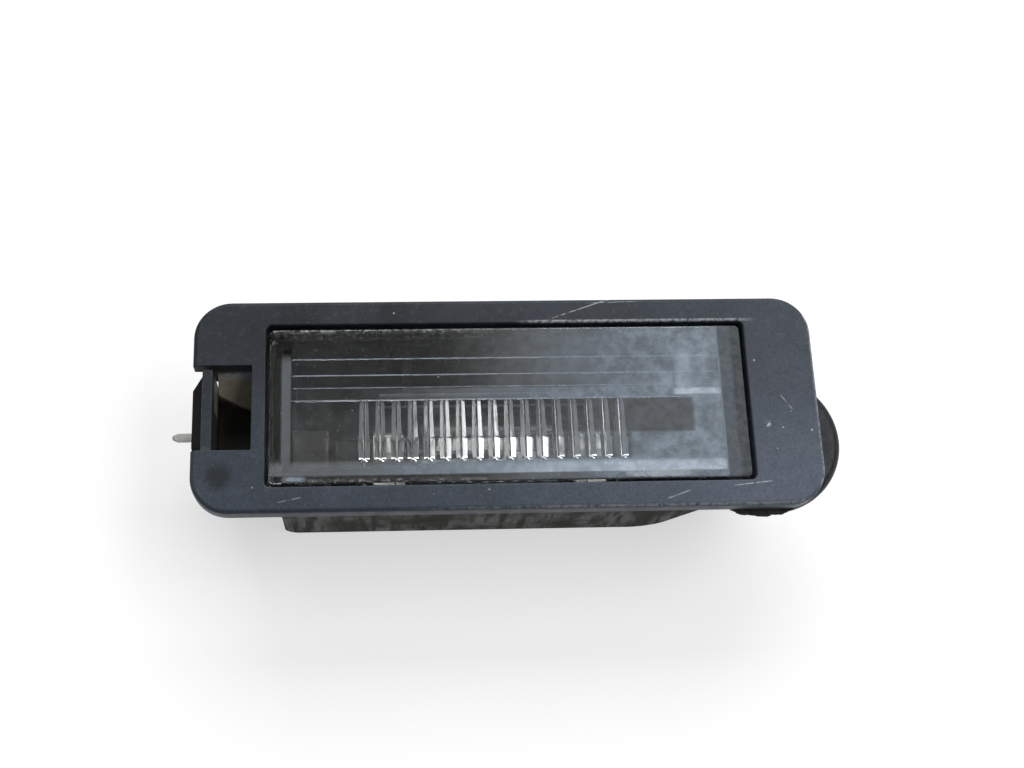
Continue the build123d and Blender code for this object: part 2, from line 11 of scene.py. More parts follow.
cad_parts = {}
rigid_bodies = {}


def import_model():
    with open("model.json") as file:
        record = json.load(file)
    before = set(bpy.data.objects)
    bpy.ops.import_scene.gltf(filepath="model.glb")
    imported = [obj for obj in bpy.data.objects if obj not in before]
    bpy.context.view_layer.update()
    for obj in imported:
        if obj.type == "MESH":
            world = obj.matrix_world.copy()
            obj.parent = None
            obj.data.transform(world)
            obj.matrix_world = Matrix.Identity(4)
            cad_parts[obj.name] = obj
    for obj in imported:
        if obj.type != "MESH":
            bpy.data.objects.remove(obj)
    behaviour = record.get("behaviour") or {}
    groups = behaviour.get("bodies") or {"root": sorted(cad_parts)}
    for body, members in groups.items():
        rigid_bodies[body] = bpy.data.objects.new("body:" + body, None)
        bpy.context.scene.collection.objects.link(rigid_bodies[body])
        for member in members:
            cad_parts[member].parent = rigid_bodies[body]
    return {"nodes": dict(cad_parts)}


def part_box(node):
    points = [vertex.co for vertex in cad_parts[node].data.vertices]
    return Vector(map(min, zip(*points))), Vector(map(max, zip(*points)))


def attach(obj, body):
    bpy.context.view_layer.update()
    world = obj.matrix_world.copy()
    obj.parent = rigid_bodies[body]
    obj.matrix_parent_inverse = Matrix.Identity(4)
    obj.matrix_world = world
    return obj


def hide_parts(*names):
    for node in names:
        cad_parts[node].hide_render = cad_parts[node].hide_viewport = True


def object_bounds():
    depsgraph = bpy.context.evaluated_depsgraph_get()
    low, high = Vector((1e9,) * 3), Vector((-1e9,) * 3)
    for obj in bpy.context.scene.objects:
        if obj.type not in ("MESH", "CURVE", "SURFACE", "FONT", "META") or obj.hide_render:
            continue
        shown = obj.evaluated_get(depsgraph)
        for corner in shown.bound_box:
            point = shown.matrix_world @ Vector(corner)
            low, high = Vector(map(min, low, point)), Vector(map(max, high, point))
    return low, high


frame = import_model()
CAD_BOX = [list(corner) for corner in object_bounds()]

bl_info = {
    "name": "Number Plate Lamp",
    "version": (1, 0, 0),
    "blender": (4, 5, 0),
    "location": "View3D > Sidebar > Plate Lamp",
    "description": "Models and finishes a clip-in number plate lamp around its fixed frame",
    "category": "Add Mesh",
}

MM = 0.001
EPS = 1e-6
HAIR = 10 * EPS  # keeps two faces out of one plane
POLE = 20 * EPS  # radius left open at the axis of a turned dome
SINK = 50 * EPS  # sets back the faces of joined pieces
X, Y, Z = range(3)
BODY = "root"
BEVEL_ANGLE = math.radians(38.0)  # edges that turn by more are rounded
SIDES = (-1, 1)
BOX = {name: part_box(name) for name in frame["nodes"]}
FRAME_LOW, FRAME_HIGH = BOX["front_frame"]
LENS_LOW, LENS_HIGH = BOX["lens"]
TUB_LOW, TUB_HIGH = BOX["rear_housing"]
GLASS_LOW, GLASS_HIGH = BOX["bulb_glass"]
SHELL_LOW, SHELL_HIGH = BOX["reflector"]
WINDOW_MIDDLE = (LENS_LOW.x + LENS_HIGH.x) / 2
BULB_AXIS = (GLASS_LOW + GLASS_HIGH) / 2


# Settings

def length(name, millimetres, description):
    """A length that a user may change, given in millimetres."""
    return bpy.props.FloatProperty(
        name=name, description=description, default=millimetres * MM, unit="LENGTH", precision=5
    )


def extent(name, millimetres, description):
    """Several lengths of one shape, given in millimetres."""
    return bpy.props.FloatVectorProperty(
        name=name,
        description=description,
        default=[value * MM for value in millimetres],
        size=len(millimetres),
        unit="LENGTH",
        precision=5,
    )


def count(name, default, description):
    """A number of copies."""
    return bpy.props.IntProperty(name=name, description=description, default=default, min=1)


def share(name, default, description):
    """A factor from 0 to 1."""
    return bpy.props.FloatProperty(
        name=name, description=description, default=default, min=0.0, max=1.0, subtype="FACTOR"
    )


def glow(name, default, description):
    """Brightness of a light, where 1 is the white of a lit card."""
    return bpy.props.FloatProperty(name=name, description=description, default=default, min=0.0)


def colour(name, default, description):
    """A colour in linear light."""
    return bpy.props.FloatVectorProperty(
        name=name, description=description, default=default, size=3, min=0.0, max=1.0, subtype="COLOR"
    )


class BezelSettings(bpy.types.PropertyGroup):
    """Sizes and colours of the bezel with its latch and lug."""

    flange_length: length("Flange length", 83.0, "Length of the flange")
    corner_radius: length("Corner radius", 5.0, "Radius of the flange's corners")
    rim_radius: length("Rim radius", 0.6, "Rounding of the flange's front edge")
    window: extent("Window", (64.2, 22.2), "Length and height of the window")
    window_radius: length("Window radius", 0.8, "Radius of the window's corners")
    window_chamfer: length("Window chamfer", 0.25, "Rounding of the window's front edge")
    skirt: extent("Skirt", (67.9, 25.9, 4.6), "Length, height and depth of the skirt")
    skirt_radius: length("Skirt radius", 2.65, "Radius of the skirt's corners")
    skirt_wall: length("Skirt wall", 1.05, "Wall of the skirt")
    snap_spacing: length("Snap spacing", 36.0, "Distance between the snap slots")
    snap_slot: extent("Snap slot", (6.7, 1.3), "Length and height of a snap slot")
    snap_depth: length("Snap depth", 2.55, "Depth of the top of the snap slots")
    pocket: extent("Pocket", (-6.1, 5.5), "Lower and upper end of the screwdriver pocket")
    pocket_wall: extent("Pocket wall", (1.0, 4.0), "Thickness and depth of the wall above the pocket")
    arm_inset: length("Arm inset", 1.3, "Distance from the flange's end to the latch arm")
    arm_thickness: length("Arm thickness", 1.35, "Thickness of the latch arm")
    arm_recess: length("Arm recess", 0.15, "Depth of the arm's front edge below the flange")
    arm_tip_gap: length("Arm tip gap", 0.5, "Gap between the arm's tip and the pocket")
    arm_root: extent("Arm root", (2.6, 3.0), "Width and length of the arm's root")
    hook_land: length("Hook land", 0.8, "Height of the flat on the hook's nose")
    hook_depth: length("Hook depth", 1.6, "Depth of the hook's nose")
    hook_start: length("Hook start", 0.8, "Height at which the hook starts")
    hook_end_gap: length("Hook end gap", 1.3, "Distance from the pocket's lower end to the hook")
    hook_taper: length("Hook taper", 1.6, "Length of the bevel at the hook's free end")
    ramp_gap: length("Ramp gap", 0.3, "Gap between the arm and the guide ramp")
    ramp_drop: length("Ramp drop", 4.1, "Fall of the guide ramp")
    ramp_depth: length("Ramp depth", 0.4, "Depth of the ramp's upper edge")
    ramp_thickness: length("Ramp thickness", 1.1, "Thickness of the guide ramp")
    ramp_widths: extent("Ramp widths", (2.4, 4.3), "Width of the ramp at the arm and at the skirt")
    lug_radius: length("Lug radius", 9.7, "Radius of the nose lug")
    lug_offset: length("Lug offset", -4.4, "Place of the nose lug across the bezel")
    lug_depths: extent("Lug depths", (2.2, 5.6), "Depth of the lug's front and back")
    lug_edge: length("Lug edge", 1.4, "Rounding of the lug")
    edge_softness: length("Edge softness", 0.11, "Rounding of all other edges")
    plastic: colour("Plastic", (0.009, 0.0135, 0.0185), "Faded black plastic")
    # Colour of the lighter lower right of the flange: bleaching with a painted sheen.
    bleached: colour("Bleached plastic", (0.092, 0.115, 0.156), "Plastic where it has bleached")
    dust: colour("Dust", (0.30, 0.31, 0.32), "Pale dust")
    # Brown dirt behind the flange; a much darker shade of it is painted shade in the pocket.
    road_dirt_and_shade: colour("Road dirt", (0.060, 0.054, 0.040), "Brown dirt behind the flange")
    # Scratched plastic, also the colour of the painted highlights on the window lip and the edges.
    scuff_and_highlight: colour("Scuff", (0.42, 0.44, 0.46), "Scratched plastic")


class LensSettings(bpy.types.PropertyGroup):
    """Sizes and colours of the clear lens tray."""

    body: extent("Body", (63.3, 21.3), "Length and height of the lens body")
    corner_radius: length("Corner radius", 0.7, "Radius of the body's corners")
    edge_radius: length("Edge radius", 0.3, "Rounding of the front edge")
    foot_thickness: length("Foot thickness", 1.2, "Thickness of the foot")
    foot_radius: length("Foot radius", 1.4, "Radius of the foot's corners")
    face_thickness: length("Face thickness", 1.4, "Thickness of the front face")
    rim_width: length("Rim width", 1.6, "Width of the wall at the foot")
    wall_slope: extent("Wall slope", (1.4, 0.7), "Lean of the inner walls at the ends and along the sides")
    optic_top: length("Optic top", 0.8, "Place of the line between ribs and flutes")
    rib_drop: length("Rib drop", 0.6, "Depth of a rib")
    fine_rib: length("Fine rib", 1.75, "Width of the two lower ribs")
    broad_rib: length("Broad rib", 2.3, "Width of the two upper ribs")
    rib_edge: length("Rib edge", 0.1, "Rounding of the inner edges")
    rib_tip: length("Rib tip", 0.3, "Rounding of a rib's tip")
    flute_pitch: length("Flute pitch", 2.13, "Distance between flutes")
    flute_count: count("Flutes", 17, "Number of flutes in a row")
    flute_lengths: extent("Flute lengths", (5.05, 3.65), "Length of the upper and the lower row")
    flute_drops: extent("Flute drops", (0.9, 0.7), "Depth of the upper and the lower flutes")
    flute_leans: extent("Flute leans", (-0.14, 0.125), "Extra depth at the upper ends of both rows")
    flank_slope: bpy.props.FloatProperty(
        name="Flank slope",
        description="Slope of a flute's flanks",
        default=math.radians(47.6),
        unit="ROTATION",
    )
    tip_radius: length("Tip radius", 0.19, "Rounding of a flute's tip")
    overlap: length("Overlap", 0.04, "How far the rows run into each other")
    pad: extent("Pad", (49.0, 0.25), "Length and depth of the pad that carries the upper row")
    root: length("Root", 0.4, "How far the optics reach into the face")
    tint: colour("Tint", (0.955, 0.972, 0.965), "Clear plastic")
    # Colour of the dust film and of the painted reflections and highlights on the lens.
    haze_and_highlight: colour("Haze", (0.53, 0.63, 0.74), "Film of dust on the lens")
    # Dirt along the edge, and the dark of the painted shade on the right wall.
    edge_dirt_and_shade: colour("Edge dirt", (0.055, 0.062, 0.070), "Dirt along the lens's edge")


class HousingSettings(bpy.types.PropertyGroup):
    """Sizes and colours of the rear housing."""

    rim_depth: length("Rim depth", 3.0, "Depth of the rim inside the skirt")
    rim_radius: length("Rim radius", 1.4, "Radius of the rim's corners")
    wall: length("Wall", 1.5, "Wall of the housing")
    tub_inset: length("Tub inset", 1.9, "Step from the rim to the tub")
    end_slope: length("End slope", 9.0, "Lean of the right end")
    left_radius: length("Left radius", 2.3, "Radius of the left back edge")
    right_radius: length("Right radius", 6.0, "Radius of the right back edge")
    back_radius: length("Back radius", 1.2, "Rounding of the long back edges")
    panel: extent("Back panel", (4.0, 0.5), "Margin and depth of the sunk panel in the back")
    snap: extent("Snap", (6.4, 1.0), "Length and height of a snap wedge")
    snap_depth: length("Snap depth", 2.7, "Depth of the top of a snap wedge")
    socket: extent("Socket", (10.4, 7.2), "Width and height of the socket's mouth")
    socket_wall: length("Socket wall", 1.2, "Wall of the socket sleeve")
    socket_radius: length("Socket radius", 1.0, "Radius of the socket's inner corners")
    socket_axis: extent("Socket axis", (-0.4, -12.0), "Place of the socket's middle across and in depth")
    pin_slot: extent("Pin slot", (1.3, 0.7), "Width and height of a pin's slot")
    pin_spacing: length("Pin spacing", 2.8, "Distance between the two pins")
    saddle: extent("Saddle", (22.0, 1.2, 1.0), "Spacing, thickness and drop of the saddle ribs")
    saddle_fit: length("Saddle fit", 0.05, "Gap between a saddle and the reflector")
    run_slot: extent("Run slot", (-2.7, 0.5, -18.15, -16.75), "Slot in the saddles for the earth strip")
    posts: extent("Posts", (-21.4875, -5.2, -16.25, 12.525, -3.3, -17.85), "Place and top of the two posts")
    post_width: length("Post width", 3.2, "Width of a post")
    stake: extent("Stake", (1.6, 2.8, 0.5), "Shank, head and head height of a heat stake")
    strip_thickness: length("Strip thickness", 0.5, "Thickness of the strip that a stake holds")
    edge_softness: length("Edge softness", 0.12, "Rounding of all other edges")
    plastic: colour("Plastic", (0.012, 0.0115, 0.0095), "Black plastic")
    road_dust: colour("Road dust", (0.050, 0.045, 0.031), "Brown dust on the outside")


class GasketSettings(bpy.types.PropertyGroup):
    """Sizes and colours of the foam strip and the lens seal."""

    inset: length("Inset", 0.5, "Distance from the flange's edge to the foam")
    gap: length("Gap", 0.2, "Gap between the skirt and the foam")
    bulge: extent("Bulge", (33.3, 9.2, 1.45), "Place, length and reach of the squeezed-out foam")
    cell: length("Cell", 0.17, "Size of the foam's mesh")
    tatter: length("Tatter", 0.5, "Depth of the worn edge")
    foam: colour("Foam", (0.026, 0.024, 0.020), "Worn black foam")
    rubber: colour("Rubber", (0.018, 0.018, 0.019), "Seal rubber")


class BulbSettings(bpy.types.PropertyGroup):
    """Sizes and colours of the festoon bulb, its strips and the reflector."""

    glass_wall: length("Glass wall", 0.6, "Wall of the bulb's glass")
    glass_length: length("Glass length", 23.0, "Length of the bulb's glass between its necks")
    shoulder: length("Shoulder", 3.0, "Length of the glass's round shoulder")
    neck_radius: length("Neck radius", 3.1, "Radius of the glass's neck")
    lead_bore: length("Lead bore", 0.325, "Radius of the lead's hole")
    cap_gap: length("Cap gap", 0.2, "Gap between the glass and a cap")
    cap_fit: length("Cap fit", 0.1, "Gap between the neck and a cap")
    cone: extent("Cone", (2.2, 1.3), "Length and tip radius of a cap's cone")
    groove: extent("Groove", (1.1, 0.55, 0.16), "Place, width and depth of a cap's rolled groove")
    coil_turns: count("Coil turns", 22, "Turns of the filament")
    wire: length("Filament wire", 0.055, "Radius of the filament's wire")
    edge_softness: length("Edge softness", 0.07, "Rounding of the strips' edges")
    tin: colour("Tin", (0.52, 0.51, 0.485), "Dull tinned strip")
    oxide: colour("Oxide", (0.22, 0.20, 0.17), "Oxide on the metal")
    cap_metal: colour("Cap metal", (0.66, 0.64, 0.58), "Plated bulb cap")
    sheet: colour("Sheet", (0.15, 0.155, 0.16), "Dulled reflector sheet")
    filament: colour("Filament", (0.33, 0.33, 0.34), "Drawn wire")


class StageSettings(bpy.types.PropertyGroup):
    """Floor, light and camera."""

    floor_size: length("Floor size", 6000.0, "Width of the floor")
    floor: colour("Floor", (0.57, 0.57, 0.57), "Pale floor")
    floor_lift: share("Floor lift", 0.57, "White that the camera, gloss and glass see on the floor")
    sky: colour("Sky", (0.15, 0.155, 0.165), "Light from all round")
    key_place: extent("Key place", (690.0, 75.0, 1000.0), "Place of the large soft light at the right")
    key_size: extent("Key size", (620.0, 750.0), "Width and height of the key light")
    key_glow: glow("Key glow", 5.0, "Brightness of the key light's face")
    right_place: extent("Right place", (205.0, 460.0, 1000.0), "Light for the lower right flanks")
    right_size: extent("Right size", (76.0, 84.0), "Width and height of the right light")
    right_glow: glow("Right glow", 2.4, "Brightness of the right light's face")
    left_place: extent("Left place", (-388.0, 470.0, 1000.0), "Light for the lower left flanks")
    left_size: extent("Left size", (90.0, 92.0), "Width and height of the left light")
    left_glow: glow("Left glow", 4.0, "Brightness of the left light's face")
    upper_right_place: extent("Upper right place", (216.0, 236.0, 1000.0), "Light for the upper right flanks")
    upper_right_size: extent("Upper right size", (56.0, 66.0), "Width and height of the upper right light")
    upper_right_glow: glow("Upper right glow", 3.0, "Brightness of the upper right light's face")
    upper_left_place: extent("Upper left place", (-360.0, 240.0, 1000.0), "Light for the upper left flanks")
    upper_left_size: extent("Upper left size", (62.0, 80.0), "Width and height of the upper left light")
    upper_left_glow: glow("Upper left glow", 3.2, "Brightness of the upper left light's face")
    top_place: extent("Top place", (100.0, 1050.0, 1000.0), "Place of the large soft light behind")
    top_size: extent("Top size", (1300.0, 700.0), "Width and height of the top light")
    top_glow: glow("Top glow", 5.0, "Brightness of the top light's face")
    focal: bpy.props.FloatProperty(
        name="Focal length",
        description="Lens of the camera on a 36 mm sensor, in millimetres",
        default=50.98,
    )
    shift: bpy.props.FloatProperty(name="Shift", description="Sideways shift of the frame", default=0.05)
    turn: bpy.props.FloatVectorProperty(
        name="Turn",
        description="Tilt, yaw and roll of the lamp as the camera sees it",
        default=(-0.3327, 0.0573, 0.0312),
        size=3,
        subtype="EULER",
        unit="ROTATION",
    )
    offset: extent("Offset", (6.2587, -2.3034, -191.4637), "Place of the flange's front before the camera")


class LampSettings(bpy.types.PropertyGroup):
    """All settings of the lamp."""

    bezel: bpy.props.PointerProperty(type=BezelSettings, name="Bezel", description="Bezel settings")
    lens: bpy.props.PointerProperty(type=LensSettings, name="Lens", description="Lens settings")
    housing: bpy.props.PointerProperty(type=HousingSettings, name="Housing", description="Housing settings")
    gasket: bpy.props.PointerProperty(type=GasketSettings, name="Gasket", description="Gasket settings")
    bulb: bpy.props.PointerProperty(type=BulbSettings, name="Bulb", description="Bulb settings")
    stage: bpy.props.PointerProperty(type=StageSettings, name="Stage", description="Stage settings")


# Modelling by hand

def rest():
    """Leaves edit mode and deselects everything."""
    if bpy.context.object and bpy.context.object.mode != "OBJECT":
        bpy.ops.object.mode_set(mode="OBJECT")
    bpy.ops.object.select_all(action="DESELECT")


def take(obj):
    """Makes one object the only one selected."""
    rest()
    obj.select_set(True)
    bpy.context.view_layer.objects.active = obj


def settle(obj):
    """Puts the object's place into its mesh."""
    take(obj)
    bpy.ops.object.transform_apply(location=True, rotation=True, scale=True)
    return obj


def block(name, low, high):
    """Cube between two corners."""
    rest()
    low, high = Vector(low), Vector(high)
    bpy.ops.mesh.primitive_cube_add(size=1.0, location=(low + high) / 2, scale=high - low)
    bpy.context.object.name = name
    return settle(bpy.context.object)


def drum(name, middle, radius, depth, vertices=64, rotation=(0, 0, 0)):
    """Cylinder about Z, or turned."""
    rest()
    bpy.ops.mesh.primitive_cylinder_add(
        vertices=vertices, radius=radius, depth=depth, location=middle, rotation=rotation
    )
    bpy.context.object.name = name
    return settle(bpy.context.object)


def pick(obj, kind, test):
    """Enters edit mode with just those points, edges or faces selected that pass the test."""
    take(obj)
    bpy.ops.object.mode_set(mode="EDIT")
    bpy.ops.mesh.select_mode(type=kind)
    bpy.ops.mesh.select_all(action="DESELECT")
    bpy.ops.object.mode_set(mode="OBJECT")
    mesh = obj.data
    for vertex in mesh.vertices if kind == "VERT" else ():
        vertex.select = test(vertex.co)
    for edge in mesh.edges if kind == "EDGE" else ():
        edge.select = test(*(mesh.vertices[index].co for index in edge.vertices))
    for face in mesh.polygons if kind == "FACE" else ():
        face.select = test(face.center, face.normal)
    bpy.ops.object.mode_set(mode="EDIT")


def anywhere(co):
    """Test that every point passes."""
    return True


def facing(sign):
    """Test for faces that look out of the lens (1) or to the back (-1)."""
    return lambda co, normal: sign * normal.z > 0.9


def along(axis):
    """Test for edges that run along an axis."""
    return lambda a, b: abs((b - a)[axis]) > 0.999 * (b - a).length


def level(height):
    """Test for edges that lie at one height."""
    return lambda a, b: abs(a.z - height) < EPS and abs(b.z - height) < EPS


def round_edges(obj, radius, segments, test):
    """Bevels the edges that pass the test."""
    pick(obj, "EDGE", test)
    bpy.ops.mesh.bevel(offset=radius, segments=segments, affect="EDGES", clamp_overlap=False)
    rest()
    return obj


def shift_points(obj, offset, test):
    """Moves the points that pass the test."""
    pick(obj, "VERT", test)
    bpy.ops.transform.translate(value=offset)
    rest()
    return obj


def draw_out(obj, offset, test):
    """Extrudes the faces that pass the test."""
    pick(obj, "FACE", test)
    bpy.ops.mesh.extrude_region_move(TRANSFORM_OT_translate={"value": offset})
    rest()
    return obj


def slice_off(obj, point, normal):
    """Cuts the object at a plane and drops the side that the normal points to."""
    pick(obj, "VERT", anywhere)
    plane = {"plane_co": point, "plane_no": Vector(normal).normalized()}
    bpy.ops.mesh.bisect(**plane, use_fill=True, clear_outer=True, threshold=EPS)
    rest()
    return obj


def slab(name, low, high, radius, axis=Z, segments=6):
    """Block whose edges along one axis are round."""
    return round_edges(block(name, low, high), radius, segments, along(axis))


def plan_slab(name, size, low, high, radius, middle=WINDOW_MIDDLE):
    """Slab of a length and height about the window's middle, between two heights."""
    half = Vector(size) / 2
    return slab(name, (middle - half.x, -half.y, low), (middle + half.x, half.y, high), radius)


def use_modifier(obj, kind, **values):
    """Adds a modifier and applies it."""
    take(obj)
    bpy.ops.object.modifier_add(type=kind)
    modifier = obj.modifiers[-1]
    for name, value in values.items():
        setattr(modifier, name, value)
    bpy.ops.object.modifier_apply(modifier=modifier.name)
    return obj


def combine(obj, tool, operation="UNION", own=False):
    """Joins the tool to the object, or cuts it away, and deletes the tool."""
    use_modifier(obj, "BOOLEAN", object=tool, operation=operation, solver="EXACT", use_self=own)
    mesh = tool.data
    bpy.data.objects.remove(tool)
    bpy.data.meshes.remove(mesh)
    return obj


def cut(obj, tool):
    """Cuts the tool away."""
    return combine(obj, tool, "DIFFERENCE")


def smooth(obj, degrees=32.0):
    """Smooth shading that keeps sharp edges and leaves flat faces flat."""
    take(obj)
    bpy.ops.object.shade_smooth_by_angle(angle=math.radians(degrees))
    return use_modifier(obj, "WEIGHTED_NORMAL", keep_sharp=True)


def soften(obj, width):
    """Merges the mesh, splits hollow faces, rounds the remaining sharp edges and shades it smooth."""
    pick(obj, "VERT", anywhere)
    bpy.ops.mesh.remove_doubles(threshold=2 * EPS)
    bpy.ops.mesh.vert_connect_concave()
    rest()
    use_modifier(
        obj, "BEVEL", width=width, segments=2, limit_method="ANGLE",
        angle_limit=BEVEL_ANGLE, use_clamp_overlap=False, miter_outer="MITER_ARC",
    )
    return smooth(obj)


def chain(name, points):
    """Line of edges: a plane merged to one point, then drawn out from point to point."""
    rest()
    bpy.ops.mesh.primitive_plane_add(size=MM, location=points[0])
    obj = bpy.context.object
    obj.name = name
    settle(obj)
    bpy.ops.object.mode_set(mode="EDIT")
    bpy.ops.mesh.select_mode(type="VERT")
    bpy.ops.mesh.select_all(action="SELECT")
    bpy.ops.mesh.merge(type="CENTER")
    for start, end in zip(points, points[1:]):
        bpy.ops.mesh.extrude_vertices_move(TRANSFORM_OT_translate={"value": Vector(end) - Vector(start)})
    return obj


def spun(name, points, centre, axis, steps=64):
    """Closed section turned right round an axis."""
    obj = chain(name, [*points, points[0]])
    bpy.ops.mesh.select_all(action="SELECT")
    bpy.ops.mesh.spin(steps=steps, angle=math.tau, center=centre, axis=axis)
    bpy.ops.mesh.select_all(action="SELECT")
    bpy.ops.mesh.remove_doubles(threshold=EPS)
    bpy.ops.mesh.normals_make_consistent(inside=False)
    rest()
    return obj


def prism(name, points, offset):
    """Closed outline drawn out to a solid."""
    obj = chain(name, points)
    bpy.ops.mesh.select_all(action="SELECT")
    bpy.ops.mesh.edge_face_add()
    bpy.ops.mesh.extrude_region_move(TRANSFORM_OT_translate={"value": offset})
    bpy.ops.mesh.select_all(action="SELECT")
    bpy.ops.mesh.normals_make_consistent(inside=False)
    rest()
    return obj


def soft_copy(node, name, width):
    """Copy of a frame node with its triangles merged and its edges rounded."""
    take(frame["nodes"][node])
    bpy.ops.object.duplicate()
    obj = bpy.context.object
    obj.name = name
    for key in [key for key in obj.keys() if key.startswith("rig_")]:
        del obj[key]
    bpy.ops.object.parent_clear(type="CLEAR_KEEP_TRANSFORM")
    pick(obj, "VERT", anywhere)
    bpy.ops.mesh.remove_doubles(threshold=2 * EPS)
    bpy.ops.mesh.tris_convert_to_quads()
    rest()
    return soften(obj, width)


def dress(obj, finish, slot, *nodes):
    """Gives a finished piece its material and body and hides the nodes it stands for; the slot is not used.
    """
    obj.data.materials.clear()
    obj.data.materials.append(finish.material)
    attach(obj, BODY)
    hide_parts(*nodes)


def dress_node(node, finish):
    """Gives a frame node its material."""
    mesh = frame["nodes"][node].data
    mesh.materials.clear()
    mesh.materials.append(finish.material)


# Finishes

def shade(base, factor):
    """A colour made darker or lighter."""
    return tuple(factor * value for value in base)


class Finish:
    """A material with one shader and short calls for its nodes. Patterns are in millimetres."""

    def __init__(self, name, **constants):
        self.material = bpy.data.materials.new(name)
        self.material.use_nodes = True
        self.tree = self.material.node_tree
        self.tree.nodes.clear()
        self.shader = self.node("BsdfPrincipled")
        for key, value in constants.items():
            self.shader.inputs[key.replace("_", " ")].default_value = value
        output = self.node("OutputMaterial")
        self.tree.links.new(self.shader.outputs[0], output.inputs["Surface"])
        place = self.node("TexCoord").outputs["Object"]
        self.place = self.node("VectorMath", {0: place, "Scale": 1 / MM}, operation="SCALE").outputs[0]
        self.x, self.y, self.z = self.node("SeparateXYZ", {0: self.place}).outputs
        facing = self.node("NewGeometry").outputs["Normal"]
        self.facing_up = self.node("SeparateXYZ", {0: facing}).outputs[Z]

    def node(self, kind, sockets=None, **settings):
        """New node with its settings and its sockets fed."""
        node = self.tree.nodes.new("ShaderNode" + kind)
        for key, value in settings.items():
            setattr(node, key, value)
        for key, value in (sockets or {}).items():
            self.feed(node.inputs[key], value)
        return node

    def feed(self, socket, value):
        """Links a socket, or sets it."""
        if isinstance(value, bpy.types.NodeSocket):
            self.tree.links.new(value, socket)
        elif socket.type == "RGBA":
            socket.default_value = (*value, 1.0)
        else:
            socket.default_value = value

    def drive(self, name, value):
        """Feeds one of the shader's sockets."""
        self.feed(self.shader.inputs[name], value)

    def noise(self, scale, detail=4.0, roughness=0.55, stretch=(1.0, 1.0, 1.0)):
        """Cloudy pattern with scale cells to the millimetre."""
        vector = self.node("VectorMath", {0: self.place, 1: stretch}, operation="MULTIPLY").outputs[0]
        sockets = {"Vector": vector, "Scale": scale, "Detail": detail, "Roughness": roughness}
        return self.node("TexNoise", sockets).outputs[0]

    def grains(self, scale, size, rarity):
        """Round grains at random places; rarity is the share of cells left empty."""
        cells = self.node("TexVoronoi", {"Vector": self.place, "Scale": scale})
        chance = self.node("SeparateColor", {0: cells.outputs["Color"]})
        there = self.span(chance.outputs[0], rarity, rarity + 0.02)
        near = self.span(cells.outputs["Distance"], 0.5 * size, size, 1.0, 0.0)
        return self.times(there, near)

    def span(self, value, low, high, to_low=0.0, to_high=1.0):
        """Smooth step from one value to another."""
        sockets = {"Value": value, "From Min": low, "From Max": high, "To Min": to_low, "To Max": to_high}
        return self.node("MapRange", sockets, interpolation_type="SMOOTHSTEP").outputs[0]

    def band(self, value, low, high, soft):
        """1 between two values, with soft ends."""
        rise = self.span(value, low - soft, low + soft)
        fall = self.span(value, high - soft, high + soft, 1.0, 0.0)
        return self.times(rise, fall)

    def calculate(self, operation, *values):
        """Arithmetic, kept between 0 and 1."""
        return self.node("Math", dict(enumerate(values)), operation=operation, use_clamp=True).outputs[0]

    def times(self, *values):
        """Product of several masks."""
        result = values[0]
        for value in values[1:]:
            result = self.calculate("MULTIPLY", result, value)
        return result

    def most(self, *values):
        """Highest of several masks."""
        result = values[0]
        for value in values[1:]:
            result = self.calculate("MAXIMUM", result, value)
        return result

    def mix(self, factor, first, second):
        """Blend of two colours."""
        node = self.node("Mix", {0: factor}, data_type="RGBA")
        self.feed(node.inputs[6], first)
        self.feed(node.inputs[7], second)
        return node.outputs[2]

    def scratch(self, start, end, width):
        """Thin broken line between two places on the face, in millimetres."""
        start, end = Vector(start), Vector(end)
        run = end - start
        middle = (*((start + end) / 2), 0.0)
        turn = (0.0, 0.0, math.atan2(run.y, run.x))
        sockets = {"Vector": self.place, "Location": middle, "Rotation": turn}
        local = self.node("Mapping", sockets, vector_type="TEXTURE").outputs[0]
        x, y, _ = self.node("SeparateXYZ", {0: local}).outputs
        across = self.node("Math", {0: y}, operation="ABSOLUTE").outputs[0]
        line = self.span(across, 0.3 * width, width, 1.0, 0.0)
        half = run.length / 2
        return self.times(line, self.band(x, -half, half, 0.3), self.span(self.noise(1.3, 3.0), 0.36, 0.56))

    def spot(self, place, radius):
        """Ragged spot on the face, in millimetres."""
        flat = self.node("VectorMath", {0: self.place, 1: (1.0, 1.0, 0.0)}, operation="MULTIPLY").outputs[0]
        away = self.node("VectorMath", {0: flat, 1: (*place, 0.0)}, operation="DISTANCE").outputs["Value"]
        sockets = {0: self.noise(2.5, 3.0), 1: 0.5 * radius, 2: away}
        ragged = self.node("Math", sockets, operation="MULTIPLY_ADD").outputs[0]
        return self.span(ragged, 0.6 * radius, 1.25 * radius, 1.0, 0.0)

    def relief(self, height, distance, strength):
        """Bump on the shader; distance is in millimetres."""
        sockets = {"Height": height, "Distance": distance * MM, "Strength": strength}
        self.drive("Normal", self.node("Bump", sockets).outputs[0])


